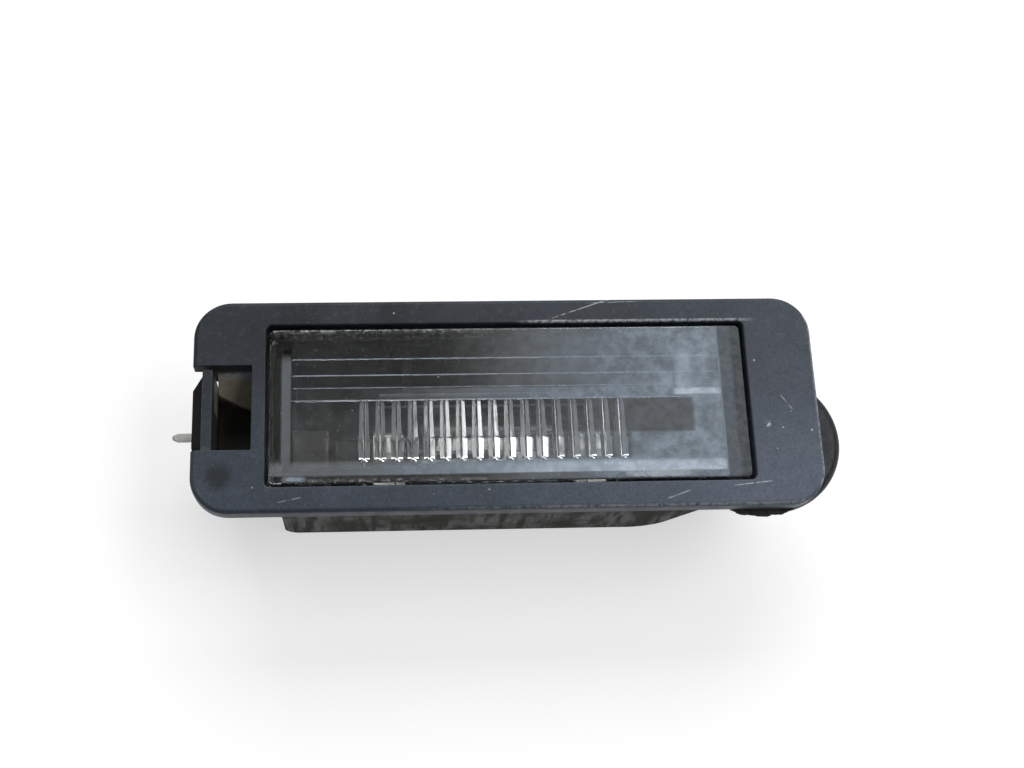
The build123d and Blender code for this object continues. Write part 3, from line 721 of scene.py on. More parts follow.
def bezel_finish(s):
    """Faded black plastic with dust, scratches and brown dirt behind the flange, lighter towards the lower
    right by bleaching and a painted sheen, with painted highlights on its edges, painted light on the
    pocket's ramp and painted shade in the pocket's depths and on the hook.
    """
    f = Finish("faded_bezel_plastic", IOR=1.5, Specular_IOR_Level=0.3)
    front = f.span(f.z, 1.9, 2.2)
    behind = f.span(f.z, -0.7, 0.3, 1.0, 0.0)
    cloudy = f.span(f.noise(0.09, 5.0), 0.36, 0.66)
    # Lighter towards the right and the bottom: partly bleaching, partly a painted sheen of the light at the
    # right.
    sheen_bleach = f.calculate("ADD", f.span(f.x, -25.0, 65.0, 0.0, 0.45), f.span(f.y, -15.0, 13.0, 0.42, 0.0))
    sheen_bleach_corner = f.times(f.span(f.x, 15.0, 45.0, 0.0, 0.35), f.span(f.y, -14.0, 0.0, 1.0, 0.0))
    sheen_bleach = f.calculate("ADD", sheen_bleach, sheen_bleach_corner)
    fade_and_sheen = f.times(f.calculate("MULTIPLY_ADD", cloudy, 0.12, sheen_bleach), f.span(f.z, -0.7, 0.3))
    base = f.mix(fade_and_sheen, s.plastic, s.bleached)
    grit = f.span(f.noise(3.4, 4.0, 0.7), 0.34, 0.66, 0.0, 0.35)
    base = f.mix(grit, base, shade(s.plastic, 0.5))
    smudges = f.times(f.most(f.spot((-37.8, -9.6), 2.4), f.spot((-15.4, 12.9), 2.6)), front, 0.7)
    # Darker band over the latch arm and the gap beside it.
    arm_darkening = f.times(f.band(f.x, -40.3, -37.9, 0.15), f.band(f.y, -5.6, 5.6, 0.2), 0.35)
    base = f.mix(f.most(smudges, arm_darkening), base, shade(s.plastic, 0.45))
    film = f.times(f.span(f.noise(1.4, 7.0, 0.75), 0.50, 0.74), f.span(f.facing_up, 0.3, 0.9), 0.12)
    in_pocket = f.times(f.band(f.x, -38.9, -33.4, 0.15), f.span(f.z, -0.2, 0.4, 1.0, 0.0))
    ramp = f.times(in_pocket, f.band(f.y, 0.2, 5.5, 0.2))
    off_lug = f.span(f.x, 33.0, 35.0, 1.0, 0.12)
    dirt = f.times(behind, f.span(f.noise(0.35, 6.0, 0.65), 0.3, 0.7, 0.25, 0.8), off_lug)
    dirt = f.most(dirt, f.times(ramp, f.span(f.noise(0.9, 5.0), 0.3, 0.7, 0.75, 1.0)))
    # The ramp gets road dirt made five times lighter: dust, and painted light on a ramp that lies in the
    # pocket's shade.
    base = f.mix(dirt, base, f.mix(ramp, s.road_dirt_and_shade, shade(s.road_dirt_and_shade, 5.0)))
    # Painted shade: the hook's side and the deep end of the pocket are darkened to near black.
    hook = f.times(f.span(f.x, -40.4, -40.2, 1.0, 0.0), f.span(f.z, 0.6, 1.0, 1.0, 0.0))
    depth = f.times(f.span(f.x, -33.4, -33.0, 1.0, 0.0), f.span(f.z, -5.0, -3.6, 1.0, 0.0))
    base = f.mix(f.most(hook, depth), base, shade(s.road_dirt_and_shade, 0.12))
    # A pale line along the ramp's top edge: dust with a painted highlight.
    ledge_dust_and_highlight = f.times(ramp, f.band(f.y, 4.75, 5.6, 0.2), f.span(f.noise(1.1, 4.0), 0.35, 0.55))
    base = f.mix(ledge_dust_and_highlight, base, s.dust)
    base = f.mix(film, base, s.dust)
    marks_and_highlights = bezel_marks(f, front)
    f.drive("Base Color", f.mix(marks_and_highlights, base, s.scuff_and_highlight))
    worn = f.span(f.noise(0.5, 5.0), 0.3, 0.7, 0.42, 0.54)
    f.drive("Roughness", f.most(worn, f.times(f.most(film, dirt, marks_and_highlights), 0.8), hook))
    grain = f.calculate("MULTIPLY_ADD", f.noise(5.5, 2.0), 0.5, f.times(marks_and_highlights, 0.5))
    f.relief(grain, 0.02, 0.5)
    return f


def bezel_marks(f, front):
    """Scratches, specks, a dusty window lip with a painted highlight and worn lower and right edges with a
    painted highlight, on the flange's front.
    """
    scratches = f.most(
        f.scratch((6.5, 11.8), (14.7, 14.6), 0.085),
        f.scratch((11.2, 13.9), (18.0, 14.1), 0.05),
        f.scratch((20.3, -13.5), (23.2, -12.5), 0.08),
        f.scratch((29.3, -11.9), (34.1, -11.4), 0.09),
        f.scratch((36.5, 0.4), (37.9, -1.6), 0.07),
        f.scratch((-30.0, -13.2), (-27.2, -12.6), 0.05),
    )
    specks = f.most(
        f.times(f.spot((34.4, -3.6), 0.55), f.span(f.noise(2.0, 2.0), 0.45, 0.55)),
        f.spot((36.4, -4.1), 0.16),
        f.spot((40.2, -4.5), 0.2),
        f.spot((33.4, 5.4), 0.17),
        f.spot((-14.9, 12.7), 0.16),
        f.spot((-33.4, -11.2), 0.14),
        f.grains(0.42, 0.055, 0.72),
        f.times(f.grains(1.1, 0.07, 0.8), 0.6),
    )
    broken = f.span(f.noise(1.6, 3.0), 0.3, 0.6)
    # Painted highlight with dust along the window's upper edge.
    lip = f.times(f.band(f.y, 11.12, 11.5, 0.08), f.band(f.x, 3.0, 32.6, 2.0), broken, 0.7)
    # Painted highlight, with some wear, on the rounded lower and right edges.
    worn_and_highlit_side = f.most(f.span(f.y, -14.0, -13.6, 1.0, 0.0), f.span(f.x, 40.3, 40.8))
    rim = f.times(f.band(f.facing_up, 0.5, 0.92, 0.08), worn_and_highlit_side, f.span(f.x, -20.0, 10.0), broken, 0.5)
    return f.times(f.most(scratches, specks, lip, rim), front)


def lens_film_and_highlights(f, s, outside):
    """Film of dust on the face, thin over the flutes and heavier to the right, where it is also a painted
    reflection, with painted reflections, sheen and highlights near the edges and painted highlight lines
    along the ribs.
    """
    inner_face = (LENS_HIGH.z - s.face_thickness) / MM
    bank = s.flute_count * s.flute_pitch / MM / 2
    pad = s.pad[0] / MM / 2
    half = (s.body[0] / 2 - s.rim_width - s.wall_slope[0]) / MM
    optic_top = s.optic_top / MM
    upper_low = optic_top - s.flute_lengths[0] / MM
    lower_low = upper_low - s.flute_lengths[1] / MM
    middle = WINDOW_MIDDLE / MM
    bulb = BULB_AXIS.x / MM
    inside = f.span(f.z, inner_face + 0.25, inner_face + 0.45, 1.0, 0.0)
    face = f.times(inside, f.band(f.x, middle - half, middle + half, 0.3))
    on_pad = f.times(f.band(f.x, middle - pad, middle + pad, 0.35), f.band(f.y, upper_low, optic_top, 0.25))
    on_row = f.times(f.band(f.x, bulb - bank, bulb + bank, 0.3), f.band(f.y, lower_low, upper_low, 0.25))
    swept = f.most(f.times(on_pad, 0.6), f.times(on_row, 0.45))
    drift = f.span(f.noise(0.16, 3.0, 0.5, (0.5, 1.0, 1.0)), 0.25, 0.8, 0.8, 1.1)
    patchy = f.span(f.noise(0.8, 5.0, 0.65), 0.3, 0.7, 0.75, 1.0)
    # Heavier to the right: dust film and a painted reflection of the light at the right.
    to_right = f.times(f.span(f.x, -12.0, 27.0, 0.02, 0.43), f.calculate("SUBTRACT", 1.0, swept))
    veil = f.times(f.span(f.noise(0.3, 4.0), 0.3, 0.7, 0.025, 0.065), f.span(f.y, -1.0, 2.0, 1.0, 0.3))
    below_rib = f.times(f.band(f.y, 0.45, 2.1, 0.12), f.span(f.x, -22.0, 12.0, 0.03, 0.38))
    wide = f.times(f.most(to_right, veil, below_rib), f.band(f.x, middle - half, middle + half, 0.5))
    # Painted reflections and highlights: a streak and a bright band at the right end, a sheen along the lower
    # edge and a highlight in the lower left corner, with a lighter strip on the left wall.
    streak = f.times(f.band(f.x, 22.2, 25.4, 1.2), f.band(f.y, 0.6, 7.6, 1.4), 0.64)
    bright_end = f.times(f.band(f.x, 22.0, 30.0, 1.0), f.band(f.y, 0.75, 1.9, 0.3), 0.8)
    low_edge = f.times(f.span(f.y, -9.8, -9.5), f.span(f.y, -8.6, -7.2, 1.0, 0.0))
    low_band = f.times(low_edge, f.span(f.x, -27.0, 16.0, 0.22, 0.8), f.span(f.x, 29.6, 30.4, 1.0, 0.0))
    low_corner = f.times(f.band(f.x, -29.4, -26.8, 0.6), f.band(f.y, -10.4, -9.8, 0.25), 0.55)
    left_wall = f.times(f.band(f.x, -29.8, -28.6, 0.2), f.band(f.y, -9.4, 6.6, 0.8), 0.2)
    smears_and_highlights = f.times(patchy, f.most(streak, bright_end, low_band, low_corner, left_wall))
    mottle = f.span(f.noise(0.55, 6.0, 0.68), 0.3, 0.7, 0.66, 1.22)
    film = f.times(outside, drift, f.most(f.times(wide, mottle), smears_and_highlights))
    # Painted highlight lines along the ribs' lower edges, seen through the face.
    lines = []
    for number, foot in enumerate(rib_feet(s)):
        rib = foot / MM
        dim, bright = (0.3, 0.6) if number < 2 else (0.6, 0.95)
        broken = f.span(f.noise(0.3 + 0.05 * rib, 4.0), 0.3, 0.6, dim, bright)
        lines.append(f.times(f.band(f.y, rib + 0.06, rib + 0.26, 0.04), broken))
    tip_highlights = f.times(f.most(*lines), f.span(f.z, inner_face - 0.45, inner_face - 0.3, 1.0, 0.0), face)
    tip_highlights = f.times(tip_highlights, f.calculate("SUBTRACT", 1.0, on_pad))
    return f.most(film, tip_highlights)


def lens_finish(s):
    """Clear moulded plastic with a film and specks of dust on its face, painted reflections and highlights in
    the film, dirt along its edge and painted shade over the right wall.
    """
    f = Finish("hazed_lens_plastic", IOR=1.49)
    outside = f.span(f.z, 1.95, 2.05)
    # The film carries painted reflections and highlights as well as dust.
    film = lens_film_and_highlights(f, s, outside)
    dust = f.most(f.grains(0.9, 0.06, 0.72), f.times(f.grains(0.35, 0.05, 0.6), 0.8))
    powder = f.span(f.noise(2.0, 6.0, 0.75), 0.54, 0.74)
    fine_dust = f.times(powder, outside, f.span(f.x, -10.0, 25.0, 0.16, 0.34))
    rim = f.most(f.span(f.x, 30.3, 31.6), f.span(f.y, 9.7, 10.5), f.span(f.y, -10.5, -9.9, 1.0, 0.0))
    dirt = f.times(rim, f.span(f.noise(1.5, 6.0, 0.7), 0.46, 0.66), 0.45)
    # Painted shade: the right wall is covered almost wholly in dark grey for the shaded gap at the right,
    # with some dirt.
    shaded_right_edge = f.times(f.span(f.x, 28.3, 28.9), f.span(f.z, 1.1, 1.3))
    dirt = f.most(dirt, f.times(shaded_right_edge, f.span(f.noise(1.1, 6.0, 0.7), 0.35, 0.65, 0.95, 1.0)))
    cover = f.most(film, f.times(dust, 0.75), fine_dust, f.times(dirt, 0.98))
    tint = f.mix(f.span(f.most(film, dust, fine_dust), 0.0, 0.3, 0.0, 0.95), s.tint, s.haze_and_highlight)
    grey_dirt_and_shade = f.mix(f.span(f.x, 30.1, 30.7), shade(s.haze_and_highlight, 0.16), s.edge_dirt_and_shade)
    f.drive("Base Color", f.mix(dirt, tint, f.mix(shaded_right_edge, s.edge_dirt_and_shade, grey_dirt_and_shade)))
    f.drive("Transmission Weight", f.calculate("SUBTRACT", 1.0, cover))
    f.drive("Roughness", f.most(f.span(cover, 0.5, 0.9, 0.03, 0.5), f.times(shaded_right_edge, 0.95)))
    f.relief(f.noise(0.25, 2.0), 0.03, 0.25)
    return f


def housing_finish(s):
    """Black plastic with brown road dust that has run down in streaks."""
    f = Finish("dusty_housing_plastic", IOR=1.5, Specular_IOR_Level=0.25)
    streaks = f.span(f.noise(0.9, 5.0, 0.6, (1.0, 1.0, 0.12)), 0.38, 0.68)
    clouds = f.span(f.noise(0.16, 6.0, 0.6), 0.35, 0.7)
    middle = WINDOW_MIDDLE / MM
    half = (LENS_HIGH.x - LENS_LOW.x) / MM / 2 - 3.6
    side = (TUB_HIGH.y / MM) - 2.6
    plan = f.times(f.band(f.x, middle - half, middle + half, 0.1), f.band(f.y, -side, side, 0.1))
    within = f.times(plan, f.span(f.z, -20.2, -20.0))
    dust = f.times(f.most(f.times(streaks, 0.55), f.times(clouds, 0.6)), f.span(within, 0.0, 1.0, 1.0, 0.2))
    grit = f.times(f.grains(1.4, 0.12, 0.7), f.span(within, 0.0, 1.0, 0.8, 0.0))
    base = f.mix(dust, s.plastic, s.road_dust)
    f.drive("Base Color", f.mix(grit, base, shade(s.road_dust, 2.2)))
    f.drive("Roughness", f.span(dust, 0.0, 0.6, 0.42, 0.8))
    f.relief(f.most(f.times(f.noise(4.0, 3.0), 0.6), grit), 0.03, 0.6)
    return f


def foam_finish(s):
    """Worn black foam with open cells."""
    f = Finish("worn_gasket_foam", IOR=1.4, Roughness=0.92)
    cells = f.node("TexVoronoi", {"Vector": f.place, "Scale": 3.2}).outputs["Distance"]
    faded = f.span(f.noise(0.5, 5.0), 0.4, 0.7)
    base = f.mix(faded, s.foam, shade(s.foam, 2.4))
    pores = f.span(cells, 0.1, 0.4, 0.7, 0.0)
    f.drive("Base Color", f.mix(pores, base, shade(s.foam, 0.3)))
    f.relief(f.span(cells, 0.05, 0.6), 0.08, 0.8)
    return f


def rubber_finish(s):
    """Soft seal rubber with a bloom of dust."""
    f = Finish("seal_rubber", IOR=1.45)
    bloom = f.span(f.noise(0.9, 6.0, 0.65), 0.45, 0.75)
    f.drive("Base Color", f.mix(f.times(bloom, 0.5), s.rubber, shade(s.rubber, 4.0)))
    f.drive("Roughness", f.span(bloom, 0.0, 1.0, 0.6, 0.85))
    f.relief(f.noise(6.0, 3.0), 0.02, 0.4)
    return f


def metal_finish(name, bright, tarnish, roughness, along_x=0.08, sooty_from=None):
    """Rolled or plated metal with oxide patches and fine lines, and soot past a place along X."""
    f = Finish(name, Metallic=1.0)
    lines = f.noise(4.5, 3.0, 0.5, (along_x, 1.0, 1.0))
    patches = f.span(f.noise(0.6, 6.0, 0.65), 0.48, 0.76)
    base = f.mix(f.times(f.span(lines, 0.3, 0.7), 0.25), bright, shade(bright, 0.75))
    base = f.mix(f.times(patches, 0.7), base, tarnish)
    if sooty_from is not None:
        soot = f.span(f.x, sooty_from, sooty_from + 1.0, 0.0, 0.92)
        base = f.mix(soot, base, shade(tarnish, 0.2))
    f.drive("Base Color", base)
    rolled = f.span(lines, 0.2, 0.8, roughness, roughness + 0.12)
    f.drive("Roughness", f.most(rolled, f.times(patches, 0.6)))
    f.relief(lines, 0.012, 0.5)
    return f


def bulb_glass_finish():
    """Clear glass with a faint grey bloom from use."""
    f = Finish("bulb_clear_glass", IOR=1.52)
    bloom = f.times(f.span(f.noise(0.25, 4.0), 0.4, 0.8), f.span(f.z, -10.0, -5.0, 0.0, 0.35))
    f.drive("Base Color", f.mix(bloom, (0.97, 0.98, 0.98), (0.72, 0.73, 0.74)))
    f.drive("Transmission Weight", f.calculate("SUBTRACT", 1.0, f.times(bloom, 0.4)))
    f.drive("Roughness", f.span(bloom, 0.0, 0.4, 0.01, 0.12))
    return f


# Bezel

def flange_plate(s):
    """Rounded plate with the window and the open pocket at its left end."""
    half = Vector((s.flange_length / 2, FRAME_HIGH.y))
    top = FRAME_HIGH.z
    plate = slab("bezel", (-half.x, -half.y, 0.0), (half.x, half.y, top), s.corner_radius, Z, 14)
    round_edges(plate, s.rim_radius, 6, level(top))
    ring = plan_slab("skirt", s.skirt[:2], -s.skirt[2], 0.2 * top, s.skirt_radius)
    bore = [size - 2 * s.skirt_wall for size in s.skirt[:2]]
    cut(ring, plan_slab("bore", bore, -2 * s.skirt[2], 0.0, s.skirt_radius - s.skirt_wall))
    combine(plate, ring)
    cut(plate, plan_slab("window", s.window, -MM, 2 * top, s.window_radius))
    reach = Vector(s.window) / 2
    in_window = lambda co: abs(co.x - WINDOW_MIDDLE) < reach.x + EPS and abs(co.y) < reach.y + EPS
    at_top = level(top)
    round_edges(plate, s.window_chamfer, 3, lambda a, b: at_top(a, b) and in_window(a) and in_window(b))
    pocket_right = WINDOW_MIDDLE - s.skirt[0] / 2 + HAIR
    cut(plate, block("pocket", (-s.flange_length, s.pocket[0], 0.0), (pocket_right, s.pocket[1], 2 * top)))
    for side in SIDES:
        for place in SIDES:
            middle = WINDOW_MIDDLE + place * s.snap_spacing / 2
            near, far = sorted((side * s.skirt[1] / 4, side * s.skirt[1]))
            low = (middle - s.snap_slot[0] / 2, near, -s.snap_depth - s.snap_slot[1])
            cut(plate, block("slot", low, (middle + s.snap_slot[0] / 2, far, -s.snap_depth)))
    return plate


def latch_arm(s):
    """Springy arm with its root and the hook on its outer side."""
    outer = -s.flange_length / 2 + s.arm_inset
    inner = outer + s.arm_thickness
    tip = s.pocket[1] - s.arm_tip_gap
    depth = FRAME_LOW.z
    front = FRAME_HIGH.z - s.arm_recess
    arm = block("arm", (outer, s.pocket[0] - s.arm_root[1] / 2, depth), (inner, tip, front))
    root_low = (outer + SINK, s.pocket[0] - s.arm_root[1], depth + SINK)
    combine(arm, block("root", root_low, (outer + s.arm_root[0], s.pocket[0], FRAME_HIGH.z / 2)))
    nose = FRAME_LOW.x
    land_low = -s.hook_depth - s.hook_land
    within = (outer + inner) / 2
    hook_low = (nose, s.pocket[0] + s.hook_end_gap, land_low)
    hook = block("hook", hook_low, (within, tip - SINK, -s.hook_depth))
    draw_out(hook, (0, 0, s.hook_start + s.hook_depth), facing(1))
    draw_out(hook, (0, 0, depth + SINK - land_low), facing(-1))
    ends = (s.hook_start, depth + SINK)
    at_end = lambda co: min(abs(co.z - end) for end in ends) < EPS and co.x < nose + EPS
    shift_points(hook, (outer - nose + SINK, 0, 0), at_end)
    slice_off(hook, (outer, tip, 0), (-s.hook_taper, outer - nose, 0))
    return combine(arm, hook)


def guide_ramp(s):
    """Sloped plate in the pocket, with one corner cut off, and the wall above it."""
    left = -s.flange_length / 2 + s.arm_inset + s.arm_thickness + s.ramp_gap
    right = WINDOW_MIDDLE - s.skirt[0] / 2
    inside = right + s.skirt_wall / 2
    high = s.pocket[1]
    low = high - s.ramp_widths[1]
    ramp_low = (left, low, -s.ramp_depth - s.ramp_thickness)
    ramp = block("ramp", ramp_low, (inside, high + SINK, -s.ramp_depth))
    shift_points(ramp, (0, 0, -s.ramp_drop), lambda co: co.y < low + EPS)
    corner = Vector((left, high - s.ramp_widths[0], 0))
    run = Vector((right, low, 0)) - corner
    slice_off(ramp, corner, (run.y, -run.x, 0))
    wall_low = (-s.flange_length / 2 + s.arm_inset, high, -s.pocket_wall[1])
    wall = block("wall", wall_low, (inside, high + s.pocket_wall[0], FRAME_HIGH.z / 2))
    return combine(ramp, wall)


def nose_lug(s):
    """Round tongue behind the right end."""
    front, back = s.lug_depths
    middle = (FRAME_HIGH.x - s.lug_radius, s.lug_offset, -(front + back) / 2)
    lug = drum("lug", middle, s.lug_radius, back - front, 96)
    round_edges(lug, s.lug_edge, 6, lambda a, b: abs(a.z - b.z) < EPS)
    edge = WINDOW_MIDDLE + s.skirt[0] / 2 - s.skirt_wall / 2
    return slice_off(lug, (edge, 0, 0), (-1, 0, 0))


class LAMP_OT_bezel(bpy.types.Operator):
    """Model the bezel with its skirt, pocket, latch arm, ramp and lug"""

    bl_idname = "plate_lamp.bezel"
    bl_label = "Bezel"
    bl_options = {"REGISTER", "UNDO"}

    def execute(self, context):
        s = context.scene.plate_lamp.bezel
        plate = flange_plate(s)
        for piece in (nose_lug(s), guide_ramp(s), latch_arm(s)):
            combine(plate, piece)
        soften(plate, s.edge_softness)
        dress(plate, bezel_finish(s), "bezel_plastic", "front_frame")
        return {"FINISHED"}


# Lens

def lens_tray(s):
    """Tray with a foot, a round front edge and leaning inner walls."""
    top, bottom = LENS_HIGH.z, LENS_LOW.z
    tray = plan_slab("lens_tray", s.body, bottom + SINK, top, s.corner_radius)
    round_edges(tray, s.edge_radius, 5, level(top))
    foot = (LENS_HIGH.x - LENS_LOW.x, LENS_HIGH.y - LENS_LOW.y)
    combine(tray, plan_slab("foot", foot, bottom, bottom + s.foot_thickness, s.foot_radius))
    mouth = [size - 2 * s.rim_width for size in s.body]
    half = Vector(mouth) / 2
    inner_face = top - s.face_thickness
    hollow = block(
        "hollow", (WINDOW_MIDDLE - half.x, -half.y, bottom), (WINDOW_MIDDLE + half.x, half.y, inner_face)
    )
    pick(hollow, "FACE", facing(1))
    shrink = (1 - s.wall_slope[0] / half.x, 1 - s.wall_slope[1] / half.y, 1.0)
    bpy.ops.transform.resize(value=shrink, center_override=(WINDOW_MIDDLE, 0.0, inner_face))
    rest()
    draw_out(hollow, (0, 0, -MM), facing(-1))
    round_edges(hollow, s.rib_edge, 3, lambda a, b: max(a.z, b.z) > inner_face - EPS)
    return cut(tray, hollow)


def rib_widths(s):
    """Widths of the ribs from the lowest up."""
    return (s.fine_rib, s.fine_rib, s.broad_rib, s.broad_rib)


def rib_feet(s):
    """Places of the ribs' lower edges from the lowest up."""
    return [s.optic_top + sum(rib_widths(s)[:number]) for number in range(len(rib_widths(s)))]


def lens_ribs(s):
    """Saw-tooth ribs across the upper part of the inner face."""
    inner_face = LENS_HIGH.z - s.face_thickness
    half = s.body[0] / 2 - s.rim_width - s.wall_slope[0] + s.rib_edge
    ribs = []
    for foot, width in zip(rib_feet(s), rib_widths(s)):
        low = (WINDOW_MIDDLE - half, foot, inner_face - s.rib_drop)
        rib = block("rib", low, (WINDOW_MIDDLE + half, foot + width + s.rib_edge, inner_face + s.root))
        slope = s.rib_drop / width
        lift = s.rib_drop + slope * s.rib_edge
        shift_points(rib, (0, 0, lift), lambda co: co.y > foot + width and co.z < inner_face)
        tip = lambda a, b: max(a.z, b.z) < inner_face - s.rib_drop + EPS
        round_edges(rib, s.rib_tip, 8, lambda a, b: tip(a, b) and along(X)(a, b))
        ribs.append(rib)
    return ribs


def sweep(angle, steps):
    """Equal turns from nothing to an angle."""
    return [angle * step / steps for step in range(steps + 1)]


def ridge_half(s, drop):
    """Half section of one flute from its tip to its root: a round tip, then a flat flank into the face."""
    inner_face = LENS_HIGH.z - s.face_thickness
    slope = s.flank_slope
    tip = s.tip_radius
    low = inner_face - drop
    points = [(tip * math.sin(turn), low + tip * (1 - math.cos(turn))) for turn in sweep(slope, 6)]
    x, z = points[-1]
    guard = tip / 8
    rise = inner_face + s.root / 2 - z
    flank = [(x + lift / math.tan(slope), z + lift) for lift in (guard, rise)]
    return [*points, *flank]


def flute_row(s, name, row, low, high, round_end):
    """Row of slightly leaning ridges; the lower ends may be round."""
    first = BULB_AXIS.x - s.flute_pitch * (s.flute_count - 1) / 2
    root = LENS_HIGH.z - s.face_thickness + s.root
    half = ridge_half(s, s.flute_drops[row])
    end = low + half[-1][0] if round_end else low
    left = [(-x, z) for x, z in reversed(half[1:])]
    outline = [(left[0][0], root), *left, *half, (half[-1][0], root)]
    bar = prism(name, [(first + x, high, z) for x, z in outline], (0, end - high, 0))
    shift_points(bar, (0, 0, -s.flute_leans[row]), lambda co: co.y > high - EPS and co.z < root - EPS)
    if round_end:
        section = [(POLE, half[0][1]), *half[1:], (half[-1][0], root), (POLE, root)]
        dome = spun("dome", [(first + x, end, z) for x, z in section], (first, end, 0), (0, 0, 1), 48)
        combine(bar, dome)
    return use_modifier(
        bar, "ARRAY", count=s.flute_count, use_relative_offset=False,
        use_constant_offset=True, constant_offset_displace=(s.flute_pitch, 0, 0),
    )


def flute_bank(s):
    """Pad and the two rows of flutes over the bulb."""
    inner_face = LENS_HIGH.z - s.face_thickness
    upper_low = s.optic_top - s.flute_lengths[0]
    pad_low = (WINDOW_MIDDLE - s.pad[0] / 2, upper_low, inner_face - s.pad[1])
    pad_high = (WINDOW_MIDDLE + s.pad[0] / 2, s.optic_top + s.rib_edge, inner_face + s.root)
    pad = block("pad", pad_low, pad_high)
    upper = flute_row(s, "upper_flutes", 0, upper_low, s.optic_top + s.overlap, False)
    lower_low = upper_low - s.flute_lengths[1]
    lower = flute_row(s, "lower_flutes", 1, lower_low, upper_low + s.overlap, True)
    return pad, upper, lower


class LAMP_OT_lens(bpy.types.Operator):
    """Model the clear lens tray with its ribs and flutes"""

    bl_idname = "plate_lamp.lens"
    bl_label = "Lens"
    bl_options = {"REGISTER", "UNDO"}

    def execute(self, context):
        s = context.scene.plate_lamp.lens
        tray = lens_tray(s)
        for piece in (*lens_ribs(s), *flute_bank(s)):
            combine(tray, piece, own=True)
        smooth(tray, 24.0)
        dress(tray, lens_finish(s), "lens_clear", "lens")
        return {"FINISHED"}


# Rear housing

def housing_tub(s):
    """Rim and tub with a leaning right end, hollowed, with a sunk panel in the back."""
    top = LENS_LOW.z
    rim_low = top - s.rim_depth
    back = TUB_LOW.z
    left, right = LENS_LOW.x + s.tub_inset, LENS_HIGH.x - s.tub_inset
    half = LENS_HIGH.y
    foot = (LENS_HIGH.x - LENS_LOW.x, 2 * half)
    rim = plan_slab("housing", foot, rim_low, top, s.rim_radius)
    tub = block("tub", (left, -half + HAIR, back), (right, half - HAIR, rim_low))
    shift_points(tub, (-s.end_slope, 0, 0), lambda co: co.x > right - EPS and co.z < back + EPS)
    turn = math.atan2(rim_low - back, s.end_slope)
    right_run = s.right_radius * math.tan(turn / 2)
    at_back = level(back)
    across = along(Y)
    at_left = lambda a, b: at_back(a, b) and across(a, b) and a.x < WINDOW_MIDDLE
    at_right = lambda a, b: at_back(a, b) and across(a, b) and a.x > right - s.end_slope - EPS
    round_edges(tub, s.left_radius, 7, at_left)
    round_edges(tub, right_run, 10, at_right)
    round_edges(tub, s.back_radius, 5, lambda a, b: at_back(a, b) and along(X)(a, b))
    draw_out(tub, (0, 0, s.rim_depth / 4), facing(1))
    combine(rim, tub)
    lean = s.end_slope / (rim_low - back)
    wall = s.wall * math.hypot(1, lean)
    hollow_low = (left + s.wall, -half + s.wall, back + s.wall)
    hollow = block("hollow", hollow_low, (right - wall, half - s.wall, rim_low))
    at_floor = lambda co: co.x > right - wall - EPS and co.z < back + s.wall + EPS
    shift_points(hollow, (lean * s.wall - s.end_slope, 0, 0), at_floor)
    draw_out(hollow, (0, 0, s.rim_depth + MM), facing(1))
    cut(rim, hollow)
    mouth = [size - 2 * s.wall for size in foot]
    cut(rim, plan_slab("mouth", mouth, rim_low + s.wall, top + MM, s.rim_radius / 4))
    margin, depth = s.panel
    low = (left + margin, -half + margin, back - MM)
    cut(rim, slab("panel", low, (right - s.end_slope - margin, half - margin, back + depth), margin / 2))
    return rim


def snap_wedges(s, bezel):
    """Four wedges that hook into the skirt's slots."""
    half = LENS_HIGH.y
    wedges = []
    for side in SIDES:
        for place in SIDES:
            middle = WINDOW_MIDDLE + place * bezel.snap_spacing / 2
            near, far = sorted((side * (half - s.wall / 2), side * TUB_HIGH.y))
            low = (middle - s.snap[0] / 2, near, -s.snap_depth - s.snap[1])
            wedge = block("wedge", low, (middle + s.snap[0] / 2, far, -s.snap_depth))
            nose = lambda co: abs(co.y) > TUB_HIGH.y - EPS and co.z > -s.snap_depth - EPS
            wedges.append(shift_points(wedge, (0, side * (half - TUB_HIGH.y), 0), nose))
    return wedges


def socket_sleeve(s):
    """Sleeve round the two pins, open to the left."""
    y, z = s.socket_axis
    left = LENS_LOW.x + s.tub_inset
    half = Vector(s.socket) / 2
    outer = half + Vector((s.socket_wall, s.socket_wall))
    low = (TUB_LOW.x, y - outer.x, z - outer.y)
    high = (left + s.wall / 2, y + outer.x, z + outer.y)
    sleeve = slab("sleeve", low, high, s.socket_radius + s.socket_wall, X)
    low = (TUB_LOW.x - MM, y - half.x, z - half.y)
    return cut(sleeve, slab("mouth", low, (left, y + half.x, z + half.y), s.socket_radius, X))


def saddles(s):
    """Two cross ribs that carry the reflector, with a slot for the earth strip."""
    spacing, thickness, drop = s.saddle
    side = LENS_HIGH.y - s.wall / 2
    floor = TUB_LOW.z + s.wall / 2
    top = BULB_AXIS.z - drop
    radius = (SHELL_HIGH.y - SHELL_LOW.y) / 2 + s.saddle_fit
    ribs = []
    for place in SIDES:
        middle = BULB_AXIS.x + place * spacing / 2
        rib = block("saddle", (middle - thickness / 2, -side, floor), (middle + thickness / 2, side, top))
        cut(rib, drum("bed", (middle, BULB_AXIS.y, BULB_AXIS.z), radius, spacing, 96, (0, math.pi / 2, 0)))
        low_y, high_y, low_z, high_z = s.run_slot
        cut(rib, block("run", (middle - thickness, low_y, low_z), (middle + thickness, high_y, high_z)))
        ribs.append(rib)
    return ribs


